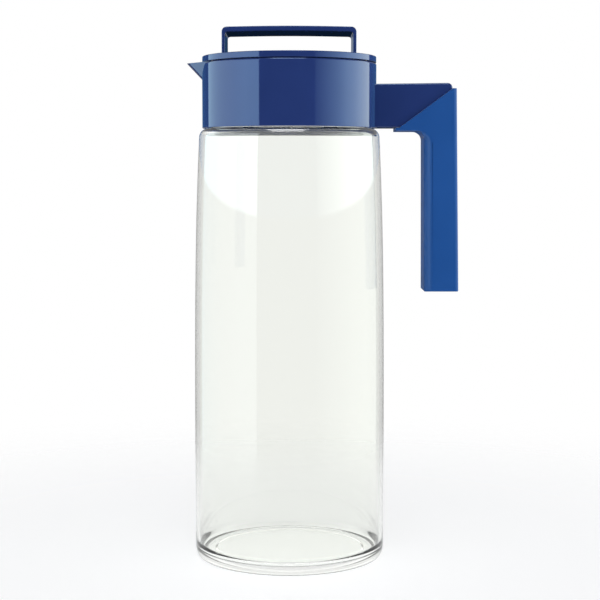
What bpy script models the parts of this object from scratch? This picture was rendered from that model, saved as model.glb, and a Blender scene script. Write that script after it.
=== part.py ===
"""A clear pitcher of about two litres, with a screwed collar that carries its pouring lip and side
handle, a soft grip sleeve, and a round lid with a strap that turns and lifts off.

Metres, Z up. The jug stands on Z = 0 and its axis is the Z axis. The handle points to +X and the
pouring lip to -X. Run it in Blender 4.5.
"""

import math

import bmesh
import bpy

MM = 0.001

# Clearance between pieces that touch, how far a cutting shape runs past what it cuts, and the
# distance within which doubled points are one
SEAT_GAP = 0.3 * MM
OVERRUN = 2.0 * MM
MERGE_DISTANCE = 0.0005 * MM

# Jug: a drawn-in cylinder with a rounded foot, a rounded shoulder and a plain neck
JUG_BODY_HEIGHT = 257.9 * MM
JUG_BASE_RADIUS = 57.2 * MM
JUG_TOP_RADIUS = 53.6 * MM
JUG_SIDE_POWER = 4
JUG_WALL = 2.4 * MM
JUG_FLOOR = 3.4 * MM
JUG_FOOT_CORNER = 2.5 * MM
JUG_FOOT_RISE = 6.2 * MM
JUG_INNER_CORNER = 6.0 * MM
JUG_SHOULDER_CORNER = 5.5 * MM
JUG_REST_RING = 9.0 * MM
JUG_PUSH_UP = 1.2 * MM
NECK_RADIUS = 47.4 * MM
NECK_HEIGHT = 18.5 * MM
NECK_ROOT_FILLET = 0.8 * MM
NECK_RIM_ROUND = 1.0 * MM
NECK_INNER_ROUND = 2.0 * MM

# Gasket between the neck's rim and the collar's ledge
GASKET_HEIGHT = 2.0 * MM
GASKET_WIDTH = 3.4 * MM
GASKET_ROUND = 0.5 * MM

# Collar: a round wall with an inner ledge that the lid seats on
COLLAR_RADIUS = 51.9 * MM
COLLAR_HEIGHT = 38.1 * MM
COLLAR_WALL = 2.4 * MM
COLLAR_EDGE = 0.5 * MM
LEDGE_THICKNESS = 2.6 * MM
LEDGE_BORE_RADIUS = 43.0 * MM
LEDGE_EDGE = 0.4 * MM

# Pouring lip: two flat faces with a rounded keel between them. The spread is the half width gained
# for each unit of reach, and the channel starts just outside the lid's plug.
LIP_REACH = 61.0 * MM
LIP_KEEL_DROP = 9.6 * MM
LIP_HALF_SPREAD = 1.21
LIP_WALL = 1.7 * MM
LIP_KEEL_ROUND = 9.0 * MM
LIP_CHANNEL_START = 46.0 * MM

# Handle: a level arm and a grip core that hangs from it
ARM_HALF_DEPTH = 12.0 * MM
ARM_HEIGHT_AT_COLLAR = 25.6 * MM
ARM_HEIGHT_AT_END = 26.2 * MM
ARM_EDGE = 1.0 * MM
ARM_TOP_ROUND = 3.0 * MM
CORE_ROUND = 4.8 * MM

# Grip sleeve: a soft sock over the grip core, cut to a mitre where it meets the arm
SLEEVE_WALL = 2.0 * MM
SLEEVE_SEAM_START_SHARE = 0.478
SLEEVE_TOP_DROP = 3.2 * MM
SLEEVE_TIP_RUN = 2.1 * MM
GRIP_INNER_REACH = 79.5 * MM
GRIP_WIDTH_AT_TOP = 19.2 * MM
GRIP_WIDTH_AT_FOOT = 20.55 * MM
GRIP_LEAN = 0.6 * MM
GRIP_FOOT_HEIGHT = 161.1 * MM
GRIP_INNER_FILLET = 5.0 * MM
GRIP_ROUND = 7.0 * MM
SLEEVE_OUTER_EDGE_SHARE = 0.23
SLEEVE_ARM_EDGE_SHARE = 0.14
SLEEVE_FOOT_EDGE_SHARE = 0.13

# Lid cap: a plate with a raised rim, and a ring under it that enters the plug
LID_SEAM = 0.4 * MM
LID_RADIUS = 51.8 * MM
LID_RIM_HEIGHT = 3.55 * MM
LID_RIM_WIDTH = 2.2 * MM
LID_RIM_ROUND = 0.6 * MM
LID_PLATE = 2.15 * MM
CAP_RING_DEPTH = 5.0 * MM
CAP_RING_WALL = 2.0 * MM

# Lid plug: a cup that drops through the ledge, with a groove for its sealing ring
PLUG_RADIUS = 46.4 * MM
PLUG_WALL = 2.0 * MM
PLUG_FLOOR = 1.8 * MM
PLUG_SPIGOT_CLEARANCE = 0.8 * MM
PLUG_SPIGOT_DEPTH = 6.0 * MM
PLUG_EDGE = 0.5 * MM
SEAL_GROOVE_DEPTH = 1.4 * MM
SEAL_GROOVE_HEIGHT = 2.2 * MM
SEAL_ROUND = 0.5 * MM

# Strap: a bent band across the lid, with a foot in each of two slots
STRAP_HALF_SPAN = 39.4 * MM
STRAP_RISE = 18.25 * MM
STRAP_CROWN = 0.5 * MM
STRAP_HALF_DEPTH = 18.3 * MM
STRAP_TOP_THICKNESS = 2.9 * MM
STRAP_LEG_THICKNESS = 2.0 * MM
STRAP_CORNER = 3.0 * MM
STRAP_EDGE = 0.5 * MM
FOOT_HALF_DEPTH = 11.5 * MM
FOOT_HOOK_REACH = 1.4 * MM
FOOT_HOOK_HEIGHT = 2.2 * MM

# Facets of a full turn and of rounded corners, from wide to narrow, and of long shallow curves
TURN_STEPS = 64
WIDE_CORNER_STEPS = 5
CORNER_STEPS = 4
NARROW_CORNER_STEPS = 3
FILLET_STEPS = 2
SIDE_ROWS = 6
CROWN_STEPS = 8

# Edges sharper than the first angle are shaded hard, and those sharper than the second are broken
HARD_EDGE_DEGREES = 35
BROKEN_EDGE_DEGREES = 40

# Levels that several pieces share
COLLAR_BOTTOM = JUG_BODY_HEIGHT + SEAT_GAP
COLLAR_TOP = COLLAR_BOTTOM + COLLAR_HEIGHT
NECK_TOP = JUG_BODY_HEIGHT + NECK_HEIGHT
GASKET_BOTTOM = NECK_TOP + SEAT_GAP
LEDGE_BOTTOM = GASKET_BOTTOM + GASKET_HEIGHT + SEAT_GAP
LEDGE_TOP = LEDGE_BOTTOM + LEDGE_THICKNESS
LID_BOTTOM = COLLAR_TOP + LID_SEAM
LID_DECK = LID_BOTTOM + LID_PLATE
CHAMBER_RADIUS = COLLAR_RADIUS - COLLAR_WALL
SPIGOT_RADIUS = LEDGE_BORE_RADIUS - PLUG_SPIGOT_CLEARANCE
CAP_RING_RADIUS = PLUG_RADIUS - PLUG_WALL - SEAT_GAP
SEAL_MIDDLE = LEDGE_TOP - LEDGE_THICKNESS / 2
ARM_END_REACH = GRIP_INNER_REACH + GRIP_WIDTH_AT_TOP - SLEEVE_WALL - SEAT_GAP
SEAM_START_REACH = COLLAR_RADIUS + SLEEVE_SEAM_START_SHARE * (GRIP_INNER_REACH - COLLAR_RADIUS)


def clear_scene():
    for obj in list(bpy.data.objects):
        bpy.data.objects.remove(obj, do_unlink=True)


def linear(value):
    """One 0 to 255 screen value as the linear share that a shader takes."""
    share = value / 255
    return share / 12.92 if share <= 0.04045 else ((share + 0.055) / 1.055) ** 2.4


def plastic(name, colour, roughness, alpha=1.0, transmission=0.0):
    material = bpy.data.materials.new(name)
    material.use_nodes = True
    shader = material.node_tree.nodes["Principled BSDF"]
    shade = [linear(value) for value in colour] + [1.0]
    shader.inputs["Base Color"].default_value = shade
    shader.inputs["Roughness"].default_value = roughness
    shader.inputs["Metallic"].default_value = 0.0
    shader.inputs["Alpha"].default_value = alpha
    shader.inputs["Transmission Weight"].default_value = transmission
    material.diffuse_color = shade[:3] + [alpha]
    return material


def place(name, mesh, material=None, parent=None):
    obj = bpy.data.objects.new(name, mesh)
    bpy.context.scene.collection.objects.link(obj)
    if material:
        mesh.materials.append(material)
    obj.parent = parent
    return obj


def empty(name, parent=None):
    obj = bpy.data.objects.new(name, None)
    obj.empty_display_type = "SINGLE_ARROW"
    obj.empty_display_size = JUG_BASE_RADIUS
    bpy.context.scene.collection.objects.link(obj)
    obj.parent = parent
    return obj


def finish_mesh(name, form):
    bmesh.ops.recalc_face_normals(form, faces=form.faces[:])
    mesh = bpy.data.meshes.new(name)
    form.to_mesh(mesh)
    form.free()
    mesh.shade_smooth()
    mesh.set_sharp_from_angle(angle=math.radians(HARD_EDGE_DEGREES))
    return mesh


def arc(across, up, radius, start, end, steps=CORNER_STEPS):
    """Points of an arc about (across, up), from one angle in degrees to another."""
    angles = [math.radians(start + (end - start) * step / steps) for step in range(steps + 1)]
    return [(across + radius * math.cos(angle), up + radius * math.sin(angle)) for angle in angles]


def turned(name, profile, ring=False):
    """A solid turned about Z. The profile is (radius, height) points, open where it meets the axis."""
    form = bmesh.new()
    points = [form.verts.new((radius, 0, height)) for radius, height in profile]
    pairs = list(zip(points, points[1:]))
    if ring:
        pairs.append((points[-1], points[0]))
    edges = [form.edges.new(pair) for pair in pairs]
    bmesh.ops.spin(
        form,
        geom=points + edges,
        cent=(0, 0, 0),
        axis=(0, 0, 1),
        angle=math.tau,
        steps=TURN_STEPS,
        use_merge=True,
    )
    bmesh.ops.remove_doubles(form, verts=form.verts[:], dist=MERGE_DISTANCE)
    return finish_mesh(name, form)


def extruded(name, outline, half_depth, weight_of=None):
    """A side outline of (x, z) points, extruded to both sides of the Y = 0 plane."""
    form = bmesh.new()
    corners = [form.verts.new((across, -half_depth, up)) for across, up in outline]
    face = form.faces.new(corners)
    grown = bmesh.ops.extrude_face_region(form, geom=[face])["geom"]
    back = [item for item in grown if isinstance(item, bmesh.types.BMVert)]
    bmesh.ops.translate(form, verts=back, vec=(0, 2 * half_depth, 0))
    if weight_of:
        layer = form.edges.layers.float.new("bevel_weight_edge")
        for edge in form.edges:
            edge[layer] = weight_of(edge)
    return finish_mesh(name, form)


def bevel(obj, width, by_weight=False):
    modifier = obj.modifiers.new("Edges", "BEVEL")
    modifier.width = width
    modifier.segments = CORNER_STEPS if by_weight else FILLET_STEPS
    modifier.limit_method = "WEIGHT" if by_weight else "ANGLE"
    modifier.angle_limit = math.radians(BROKEN_EDGE_DEGREES)
    modifier.use_clamp_overlap = True
    modifier.harden_normals = True


def combine(obj, other, operation):
    """Joins or cuts with another object, which stays in the file as a hidden guide."""
    modifier = obj.modifiers.new(other.name, "BOOLEAN")
    modifier.operation = operation
    modifier.object = other
    other.hide_render = True
    other.display_type = "WIRE"
    other.parent = obj.parent


def body_radius(height):
    """The jug's outer radius. The side stands almost upright and draws in towards the shoulder."""
    share = height / JUG_BODY_HEIGHT
    return JUG_BASE_RADIUS - (JUG_BASE_RADIUS - JUG_TOP_RADIUS) * share**JUG_SIDE_POWER


def jug_side(low, high, inset, rows=SIDE_ROWS):
    """Points of the jug's side between two heights, evenly spread and moved in by a wall."""
    heights = [low + (high - low) * row / rows for row in range(1, rows)]
    return [(body_radius(height) - inset, height) for height in heights]


def jug_profile():
    shoulder = JUG_BODY_HEIGHT - JUG_SHOULDER_CORNER
    shoulder_centre = body_radius(shoulder) - JUG_SHOULDER_CORNER
    floor_top = JUG_PUSH_UP + JUG_FLOOR
    inner_foot = floor_top + JUG_INNER_CORNER
    foot_centre = body_radius(inner_foot) - JUG_WALL - JUG_INNER_CORNER
    under_shoulder = JUG_BODY_HEIGHT - JUG_WALL
    bore = NECK_RADIUS - JUG_WALL
    ring_inner = JUG_BASE_RADIUS - JUG_FOOT_CORNER - JUG_REST_RING

    profile = [(0, floor_top)]
    profile += arc(foot_centre, inner_foot, JUG_INNER_CORNER, -90, 0)
    profile += jug_side(inner_foot, shoulder, JUG_WALL)
    profile += arc(shoulder_centre, shoulder, JUG_SHOULDER_CORNER - JUG_WALL, 0, 90)
    round_centre = under_shoulder + NECK_INNER_ROUND
    profile += arc(bore + NECK_INNER_ROUND, round_centre, NECK_INNER_ROUND, 270, 180, NARROW_CORNER_STEPS)
    rim = NECK_TOP - NECK_RIM_ROUND
    profile += arc(bore + NECK_RIM_ROUND, rim, NECK_RIM_ROUND, 180, 90, NARROW_CORNER_STEPS)
    profile += arc(NECK_RADIUS - NECK_RIM_ROUND, rim, NECK_RIM_ROUND, 90, 0, NARROW_CORNER_STEPS)
    root = JUG_BODY_HEIGHT + NECK_ROOT_FILLET
    profile += arc(NECK_RADIUS + NECK_ROOT_FILLET, root, NECK_ROOT_FILLET, 180, 270, FILLET_STEPS)
    profile += arc(shoulder_centre, shoulder, JUG_SHOULDER_CORNER, 90, 0, WIDE_CORNER_STEPS)
    profile += reversed(jug_side(JUG_FOOT_RISE, shoulder, 0))
    foot = JUG_BASE_RADIUS - JUG_FOOT_CORNER
    stretch = JUG_FOOT_RISE / JUG_FOOT_CORNER
    foot_round = arc(foot, JUG_FOOT_CORNER, JUG_FOOT_CORNER, 0, -90, WIDE_CORNER_STEPS)
    profile += [(across, up * stretch) for across, up in foot_round]
    profile += [(ring_inner, 0), (ring_inner - JUG_PUSH_UP, JUG_PUSH_UP), (0, JUG_PUSH_UP)]
    return profile


def make_jug(materials, parent):
    return place("jug", turned("jug", jug_profile()), materials["clear"], parent)


def rounded_ring(inner, outer, bottom, top, radius):
    """The profile of a ring with a rounded section."""
    profile = arc(outer - radius, top - radius, radius, 90, 0, 1)
    profile += arc(outer - radius, bottom + radius, radius, 0, -90, 1)
    profile += arc(inner + radius, bottom + radius, radius, 270, 180, 1)
    profile += arc(inner + radius, top - radius, radius, 180, 90, 1)
    return profile


def make_neck_gasket(materials, parent):
    middle = NECK_RADIUS - JUG_WALL / 2
    top = GASKET_BOTTOM + GASKET_HEIGHT
    inner, outer = middle - GASKET_WIDTH / 2, middle + GASKET_WIDTH / 2
    profile = rounded_ring(inner, outer, GASKET_BOTTOM, top, GASKET_ROUND)
    return place("neck_gasket", turned("neck_gasket", profile, True), materials["seal"], parent)


def collar_drum():
    """The collar's outside as a solid drum with broken edges."""
    profile = [(0, COLLAR_TOP)]
    profile += [(COLLAR_RADIUS - COLLAR_EDGE, COLLAR_TOP), (COLLAR_RADIUS, COLLAR_TOP - COLLAR_EDGE)]
    profile += [(COLLAR_RADIUS, COLLAR_BOTTOM + COLLAR_EDGE)]
    profile += [(COLLAR_RADIUS - COLLAR_EDGE, COLLAR_BOTTOM), (0, COLLAR_BOTTOM)]
    return turned("collar", profile)


def collar_cavity():
    """What is hollow inside the collar: the neck's room, the ledge's bore and the lid's chamber."""
    bore, edge = LEDGE_BORE_RADIUS, LEDGE_EDGE
    profile = [(0, COLLAR_TOP + OVERRUN), (CHAMBER_RADIUS, COLLAR_TOP + OVERRUN)]
    profile += [(CHAMBER_RADIUS, LEDGE_TOP), (bore + edge, LEDGE_TOP), (bore, LEDGE_TOP - edge)]
    profile += [(bore, LEDGE_BOTTOM + edge), (bore + edge, LEDGE_BOTTOM)]
    profile += [(CHAMBER_RADIUS, LEDGE_BOTTOM), (CHAMBER_RADIUS, COLLAR_BOTTOM - OVERRUN)]
    profile += [(0, COLLAR_BOTTOM - OVERRUN)]
    return turned("collar_cavity", profile)


def lip_wedge(name, inset, start, top):
    """The pouring lip as a solid wedge that begins inside the collar. Inset moves it in by a wall."""
    slope = LIP_KEEL_DROP / (LIP_REACH - COLLAR_RADIUS)
    lean = math.atan2(slope, LIP_HALF_SPREAD)
    rounded_off = LIP_KEEL_ROUND * (1 / math.cos(lean) - 1) / slope
    shift = inset * math.sqrt(1 + 1 / LIP_HALF_SPREAD**2 + 1 / slope**2)
    depth = LIP_REACH + rounded_off - shift + (top - COLLAR_TOP) / slope - start
    radius = LIP_KEEL_ROUND - inset
    middle = top - depth * slope + radius / math.cos(lean)
    turn = math.degrees(lean)
    section = [(-depth * LIP_HALF_SPREAD, top)]
    section += arc(0, middle, radius, 270 - turn, 270 + turn, WIDE_CORNER_STEPS + 1)
    section += [(depth * LIP_HALF_SPREAD, top)]

    form = bmesh.new()
    near = [form.verts.new((-start, along, up)) for along, up in section]
    far = [form.verts.new((-start - (top - up) / slope, along, top)) for along, up in section[1:-1]]
    rim = [near[0]] + far + [near[-1]]
    for index in range(len(section) - 1):
        corners = [near[index], near[index + 1], rim[index + 1], rim[index]]
        form.faces.new(dict.fromkeys(corners))
    form.faces.new(near)
    form.faces.new(rim)
    return finish_mesh(name, form)


def handle_outline(grow=0.0):
    """The arm and the grip core seen from the side, grown by a clearance for the sleeve's hollow."""
    inner, outer = core_reaches()
    below = COLLAR_BOTTOM - grow
    foot = GRIP_FOOT_HEIGHT + SLEEVE_WALL + SEAT_GAP - grow
    top_at_collar = COLLAR_BOTTOM + ARM_HEIGHT_AT_COLLAR + grow
    top_at_end = COLLAR_BOTTOM + ARM_HEIGHT_AT_END + grow
    corner = ARM_TOP_ROUND
    outline = [(LEDGE_BORE_RADIUS, below), (inner - grow, below), (inner + GRIP_LEAN - grow, foot)]
    outline += [(outer + grow, foot), (ARM_END_REACH + grow, top_at_end - corner)]
    outline += arc(ARM_END_REACH + grow - corner, top_at_end - corner, corner, 0, 90, NARROW_CORNER_STEPS)[1:]
    outline += [(LEDGE_BORE_RADIUS, top_at_collar)]
    return outline


def core_reaches():
    """How far the grip core's inner face and its outer foot lie from the jug's axis."""
    inner = GRIP_INNER_REACH + SLEEVE_WALL + SEAT_GAP
    outer = GRIP_INNER_REACH + GRIP_LEAN + GRIP_WIDTH_AT_FOOT - SLEEVE_WALL - SEAT_GAP
    return inner, outer


def core_weight(edge):
    """Full rounding on the grip core's inner upright edges, and a small one on the other long edges."""
    ends = [vertex.co for vertex in edge.verts]
    if abs(ends[0].y - ends[1].y) > ARM_HALF_DEPTH:
        return 0.0
    inner = core_reaches()[0] + GRIP_LEAN + SEAT_GAP
    if all(end.x < inner and end.x > LEDGE_BORE_RADIUS for end in ends) and ends[0].x != ends[1].x:
        if abs(ends[0].z - ends[1].z) > ARM_HEIGHT_AT_END:
            return 1.0
    return ARM_EDGE / CORE_ROUND


def handle_solid(name, grow=0.0):
    mesh = extruded(name, handle_outline(grow), ARM_HALF_DEPTH + grow, core_weight)
    obj = place(name, mesh)
    bevel(obj, CORE_ROUND, by_weight=True)
    return obj


def make_collar(materials, parent):
    """The ring, its ledge, the pouring lip, the arm and the grip core are one moulding."""
    collar = place("collar", collar_drum(), materials["navy"], parent)
    lip = place("lip_form", lip_wedge("lip_form", 0, LEDGE_BORE_RADIUS, COLLAR_TOP))
    channel_mesh = lip_wedge("lip_channel", LIP_WALL, LIP_CHANNEL_START, COLLAR_TOP + OVERRUN)
    channel = place("lip_channel", channel_mesh)
    cavity = place("collar_cavity", collar_cavity())
    combine(collar, handle_solid("handle_form"), "UNION")
    combine(collar, lip, "UNION")
    combine(collar, cavity, "DIFFERENCE")
    combine(collar, channel, "DIFFERENCE")
    return collar


def sleeve_outline():
    """The sleeve seen from the side: a short run under the arm, the grip, and the slanting mitre."""
    under = COLLAR_BOTTOM - SLEEVE_WALL
    top = COLLAR_BOTTOM + ARM_HEIGHT_AT_END - SLEEVE_TOP_DROP
    foot = GRIP_FOOT_HEIGHT
    inner = GRIP_INNER_REACH
    outer_foot = inner + GRIP_LEAN + GRIP_WIDTH_AT_FOOT
    tip = SEAM_START_REACH - SLEEVE_TIP_RUN
    outline = [(tip, under)]
    fillet = GRIP_INNER_FILLET
    outline += arc(inner - fillet, under - fillet, fillet, 90, 0, WIDE_CORNER_STEPS)
    outline += [(inner + GRIP_LEAN, foot), (outer_foot, foot)]
    outline += [(inner + GRIP_WIDTH_AT_TOP, top), (ARM_END_REACH, top)]
    outline += [(SEAM_START_REACH, COLLAR_BOTTOM), (tip, COLLAR_BOTTOM)]
    return outline


def sleeve_weight(edge):
    """How much of the grip's rounding each edge of the sleeve takes."""
    ends = [vertex.co for vertex in edge.verts]
    if abs(ends[0].y - ends[1].y) > ARM_HALF_DEPTH:
        lowest = ends[0].z < GRIP_FOOT_HEIGHT + SEAT_GAP
        return SLEEVE_FOOT_EDGE_SHARE if lowest else 0.0
    low, high = sorted(end.z for end in ends)
    nearest = min(end.x for end in ends)
    farthest = max(end.x for end in ends)
    if high < GRIP_FOOT_HEIGHT + SEAT_GAP:
        return SLEEVE_FOOT_EDGE_SHARE
    if low < GRIP_FOOT_HEIGHT + SEAT_GAP:
        inner = farthest < GRIP_INNER_REACH + GRIP_WIDTH_AT_FOOT / 2
        return 1.0 if inner else SLEEVE_OUTER_EDGE_SHARE
    under = COLLAR_BOTTOM - SLEEVE_WALL
    if high <= under + SEAT_GAP and nearest >= GRIP_INNER_REACH - GRIP_INNER_FILLET - SEAT_GAP:
        drop = min(1.0, (under - low) / GRIP_INNER_FILLET)
        return SLEEVE_ARM_EDGE_SHARE + (1.0 - SLEEVE_ARM_EDGE_SHARE) * drop
    if high <= under + SEAT_GAP:
        return SLEEVE_ARM_EDGE_SHARE
    return 0.0


def make_grip_sleeve(materials, parent):
    mesh = extruded("grip_sleeve", sleeve_outline(), ARM_HALF_DEPTH + SLEEVE_WALL, sleeve_weight)
    sleeve = place("grip_sleeve", mesh, materials["grip"], parent)
    bevel(sleeve, GRIP_ROUND, by_weight=True)
    combine(sleeve, handle_solid("handle_room", grow=SEAT_GAP), "DIFFERENCE")
    return sleeve


def cap_profile():
    rim_top = LID_BOTTOM + LID_RIM_HEIGHT
    rim_inner = LID_RADIUS - LID_RIM_WIDTH
    round_off = LID_RIM_ROUND
    ring_bottom = LID_BOTTOM - CAP_RING_DEPTH
    ring_inner = CAP_RING_RADIUS - CAP_RING_WALL
    profile = [(0, LID_DECK), (rim_inner - round_off, LID_DECK)]
    profile += [(rim_inner, LID_DECK + round_off), (rim_inner, rim_top - round_off / 2)]
    profile += [(rim_inner + round_off / 2, rim_top)]
    profile += arc(LID_RADIUS - round_off, rim_top - round_off, round_off, 90, 0, NARROW_CORNER_STEPS)
    profile += [(LID_RADIUS, LID_BOTTOM + round_off / 2), (LID_RADIUS - round_off / 2, LID_BOTTOM)]
    profile += [(CAP_RING_RADIUS, LID_BOTTOM), (CAP_RING_RADIUS, ring_bottom + PLUG_EDGE)]
    profile += [(CAP_RING_RADIUS - PLUG_EDGE, ring_bottom), (ring_inner, ring_bottom)]
    profile += [(ring_inner, LID_BOTTOM), (0, LID_BOTTOM)]
    return profile


def slot_cutter(name, side):
    """The slot in the lid's plate that takes one foot of the strap."""
    middle = side * (STRAP_HALF_SPAN - STRAP_LEG_THICKNESS / 2)
    half_width = STRAP_LEG_THICKNESS / 2 + SEAT_GAP
    low, high = LID_BOTTOM - OVERRUN, LID_DECK + OVERRUN
    outline = [(middle - half_width, low), (middle + half_width, low)]
    outline += [(middle + half_width, high), (middle - half_width, high)]
    return place(name, extruded(name, outline, FOOT_HALF_DEPTH + SEAT_GAP))


def make_lid_cap(materials, parent):
    cap = place("lid_cap", turned("lid_cap", cap_profile()), materials["navy"], parent)
    combine(cap, slot_cutter("left_slot", -1), "DIFFERENCE")
    combine(cap, slot_cutter("right_slot", 1), "DIFFERENCE")
    return cap


def plug_profile():
    top = LID_BOTTOM - SEAT_GAP
    seat = LEDGE_TOP + SEAT_GAP
    bottom = LEDGE_TOP - PLUG_SPIGOT_DEPTH
    groove = SPIGOT_RADIUS - SEAL_GROOVE_DEPTH
    groove_top = SEAL_MIDDLE + SEAL_GROOVE_HEIGHT / 2
    groove_bottom = SEAL_MIDDLE - SEAL_GROOVE_HEIGHT / 2
    inner_low = groove - PLUG_WALL
    inner_high = PLUG_RADIUS - PLUG_WALL
    profile = [(0, bottom + PLUG_FLOOR), (inner_low, bottom + PLUG_FLOOR)]
    profile += [(inner_low, seat + PLUG_WALL), (inner_high, seat + PLUG_WALL + PLUG_EDGE)]
    profile += [(inner_high, top), (PLUG_RADIUS - PLUG_EDGE, top), (PLUG_RADIUS, top - PLUG_EDGE)]
    profile += [(PLUG_RADIUS, seat + PLUG_EDGE), (PLUG_RADIUS - PLUG_EDGE, seat)]
    profile += [(SPIGOT_RADIUS, seat), (SPIGOT_RADIUS, groove_top), (groove, groove_top)]
    profile += [(groove, groove_bottom), (SPIGOT_RADIUS, groove_bottom)]
    profile += [(SPIGOT_RADIUS, bottom + 2 * PLUG_EDGE), (SPIGOT_RADIUS - 2 * PLUG_EDGE, bottom)]
    profile += [(0, bottom)]
    return profile


def make_lid_plug(materials, parent):
    return place("lid_plug", turned("lid_plug", plug_profile()), materials["navy"], parent)


def make_lid_seal(materials, parent):
    inner = SPIGOT_RADIUS - SEAL_GROOVE_DEPTH + SEAT_GAP
    outer = LEDGE_BORE_RADIUS - SEAT_GAP
    half = SEAL_GROOVE_HEIGHT / 2 - SEAT_GAP
    profile = rounded_ring(inner, outer, SEAL_MIDDLE - half, SEAL_MIDDLE + half, SEAL_ROUND)
    return place("lid_seal", turned("lid_seal", profile, True), materials["seal"], parent)


def strap_outline():
    """The band seen from the front: outside up and over, then back along its inside."""
    base = LID_DECK + SEAT_GAP
    span, leg, top = STRAP_HALF_SPAN, STRAP_LEG_THICKNESS, STRAP_TOP_THICKNESS
    corner = STRAP_CORNER
    inner_corner = corner / 2
    shoulder = base + STRAP_RISE - SEAT_GAP - STRAP_CROWN
    outside = [(-span, base)]
    outside += arc(-span + corner, shoulder - corner, corner, 180, 90)
    outside += crowned(-span + corner, span - corner, shoulder)
    outside += arc(span - corner, shoulder - corner, corner, 90, 0)
    outside += [(span, base)]
    low = shoulder - top
    inside = [(span - leg, base)]
    inside += arc(span - leg - inner_corner, low - inner_corner, inner_corner, 0, 90, FILLET_STEPS)
    inside += reversed(crowned(-span + leg + inner_corner, span - leg - inner_corner, low))
    inside += arc(-span + leg + inner_corner, low - inner_corner, inner_corner, 90, 180, FILLET_STEPS)
    inside += [(-span + leg, base)]
    return outside + inside


def crowned(left, right, height, steps=CROWN_STEPS):
    """Points of a shallow arch, without its ends."""
    shares = [step / steps for step in range(1, steps)]
    rises = [STRAP_CROWN * math.sin(math.pi * share) for share in shares]
    return [(left + (right - left) * share, height + rise) for share, rise in zip(shares, rises)]


def foot_outline(side):
    """A foot goes through its slot and hooks inwards under the plate."""
    base = LID_DECK + SEAT_GAP + STRAP_LEG_THICKNESS
    outer = STRAP_HALF_SPAN
    inner = outer - STRAP_LEG_THICKNESS
    catch = LID_BOTTOM - SEAT_GAP
    outline = [(inner, base), (outer, base), (outer, catch - FOOT_HOOK_HEIGHT)]
    outline += [(inner, catch - FOOT_HOOK_HEIGHT), (inner - FOOT_HOOK_REACH, catch - FOOT_HOOK_HEIGHT / 2)]
    outline += [(inner - FOOT_HOOK_REACH, catch), (inner, catch)]
    return [(side * across, up) for across, up in outline]


def make_lid_strap(materials, parent):
    mesh = extruded("lid_strap", strap_outline(), STRAP_HALF_DEPTH)
    strap = place("lid_strap", mesh, materials["navy"], parent)
    bevel(strap, STRAP_EDGE)
    for side, name in ((-1, "left_foot"), (1, "right_foot")):
        foot = place(name, extruded(name, foot_outline(side), FOOT_HALF_DEPTH))
        combine(strap, foot, "UNION")
    return strap


def main():
    clear_scene()
    materials = {
        "clear": plastic("clear_plastic", (238, 242, 243), 0.04, alpha=0.35, transmission=0.9),
        "navy": plastic("navy_plastic", (35, 51, 103), 0.12),
        "grip": plastic("soft_blue_grip", (28, 74, 136), 0.5),
        "seal": plastic("seal_silicone", (226, 228, 226), 0.55, alpha=0.9),
    }
    pitcher = empty("pitcher_axis")
    lid_lift = empty("lid_lift_axis", pitcher)
    lid_turn = empty("lid_turn_axis", lid_lift)
    make_jug(materials, pitcher)
    make_neck_gasket(materials, pitcher)
    make_collar(materials, pitcher)
    make_grip_sleeve(materials, pitcher)
    make_lid_seal(materials, lid_lift)
    make_lid_plug(materials, lid_turn)
    make_lid_cap(materials, lid_turn)
    make_lid_strap(materials, lid_turn)


main()
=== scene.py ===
"""The looks of a clear pitcher with a navy collar, pouring lip and side handle, a soft blue grip and
a strap lid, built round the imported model.

Metres, Z up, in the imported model's frame: the jug stands on Z = 0, the handle points to +X and the
lip to -X. Each piece stands for one node of the model and has its place in its mesh.
"""

import math

import bmesh
import bpy
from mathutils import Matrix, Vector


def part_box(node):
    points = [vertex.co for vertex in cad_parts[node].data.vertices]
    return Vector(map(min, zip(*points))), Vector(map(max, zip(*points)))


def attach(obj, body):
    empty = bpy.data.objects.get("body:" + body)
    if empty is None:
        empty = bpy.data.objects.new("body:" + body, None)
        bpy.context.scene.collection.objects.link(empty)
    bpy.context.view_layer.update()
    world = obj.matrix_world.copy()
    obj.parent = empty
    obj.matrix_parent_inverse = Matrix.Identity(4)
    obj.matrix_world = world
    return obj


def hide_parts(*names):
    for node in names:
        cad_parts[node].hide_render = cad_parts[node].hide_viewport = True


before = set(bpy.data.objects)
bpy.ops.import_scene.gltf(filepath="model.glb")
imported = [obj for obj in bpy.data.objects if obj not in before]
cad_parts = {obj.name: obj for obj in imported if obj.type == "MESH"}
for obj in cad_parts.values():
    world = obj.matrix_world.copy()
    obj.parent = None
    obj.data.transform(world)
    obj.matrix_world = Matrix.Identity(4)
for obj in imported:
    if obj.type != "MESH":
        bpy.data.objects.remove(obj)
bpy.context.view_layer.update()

MM = 0.001

# Clearance between pieces, and how far a cutting shape runs past what it cuts
SEAT_GAP = 0.3 * MM
OVERRUN = 2.0 * MM

# Jug
JUG_TOP_RADIUS = 53.6 * MM
JUG_SIDE_POWER = 4
JUG_WALL = 2.4 * MM
JUG_FLOOR = 3.4 * MM
JUG_FOOT_CORNER = 2.5 * MM
JUG_FOOT_RISE = 6.2 * MM
JUG_INNER_CORNER = 6.0 * MM
JUG_SHOULDER_CORNER = 5.5 * MM
JUG_REST_RING = 9.0 * MM
JUG_REST_ROUND = 0.8 * MM
JUG_PUSH_UP = 1.2 * MM
NECK_RADIUS = 47.4 * MM
NECK_HEIGHT = 18.5 * MM
NECK_ROOT_FILLET = 0.8 * MM
NECK_RIM_ROUND = 1.0 * MM
NECK_INNER_ROUND = 2.0 * MM

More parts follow.
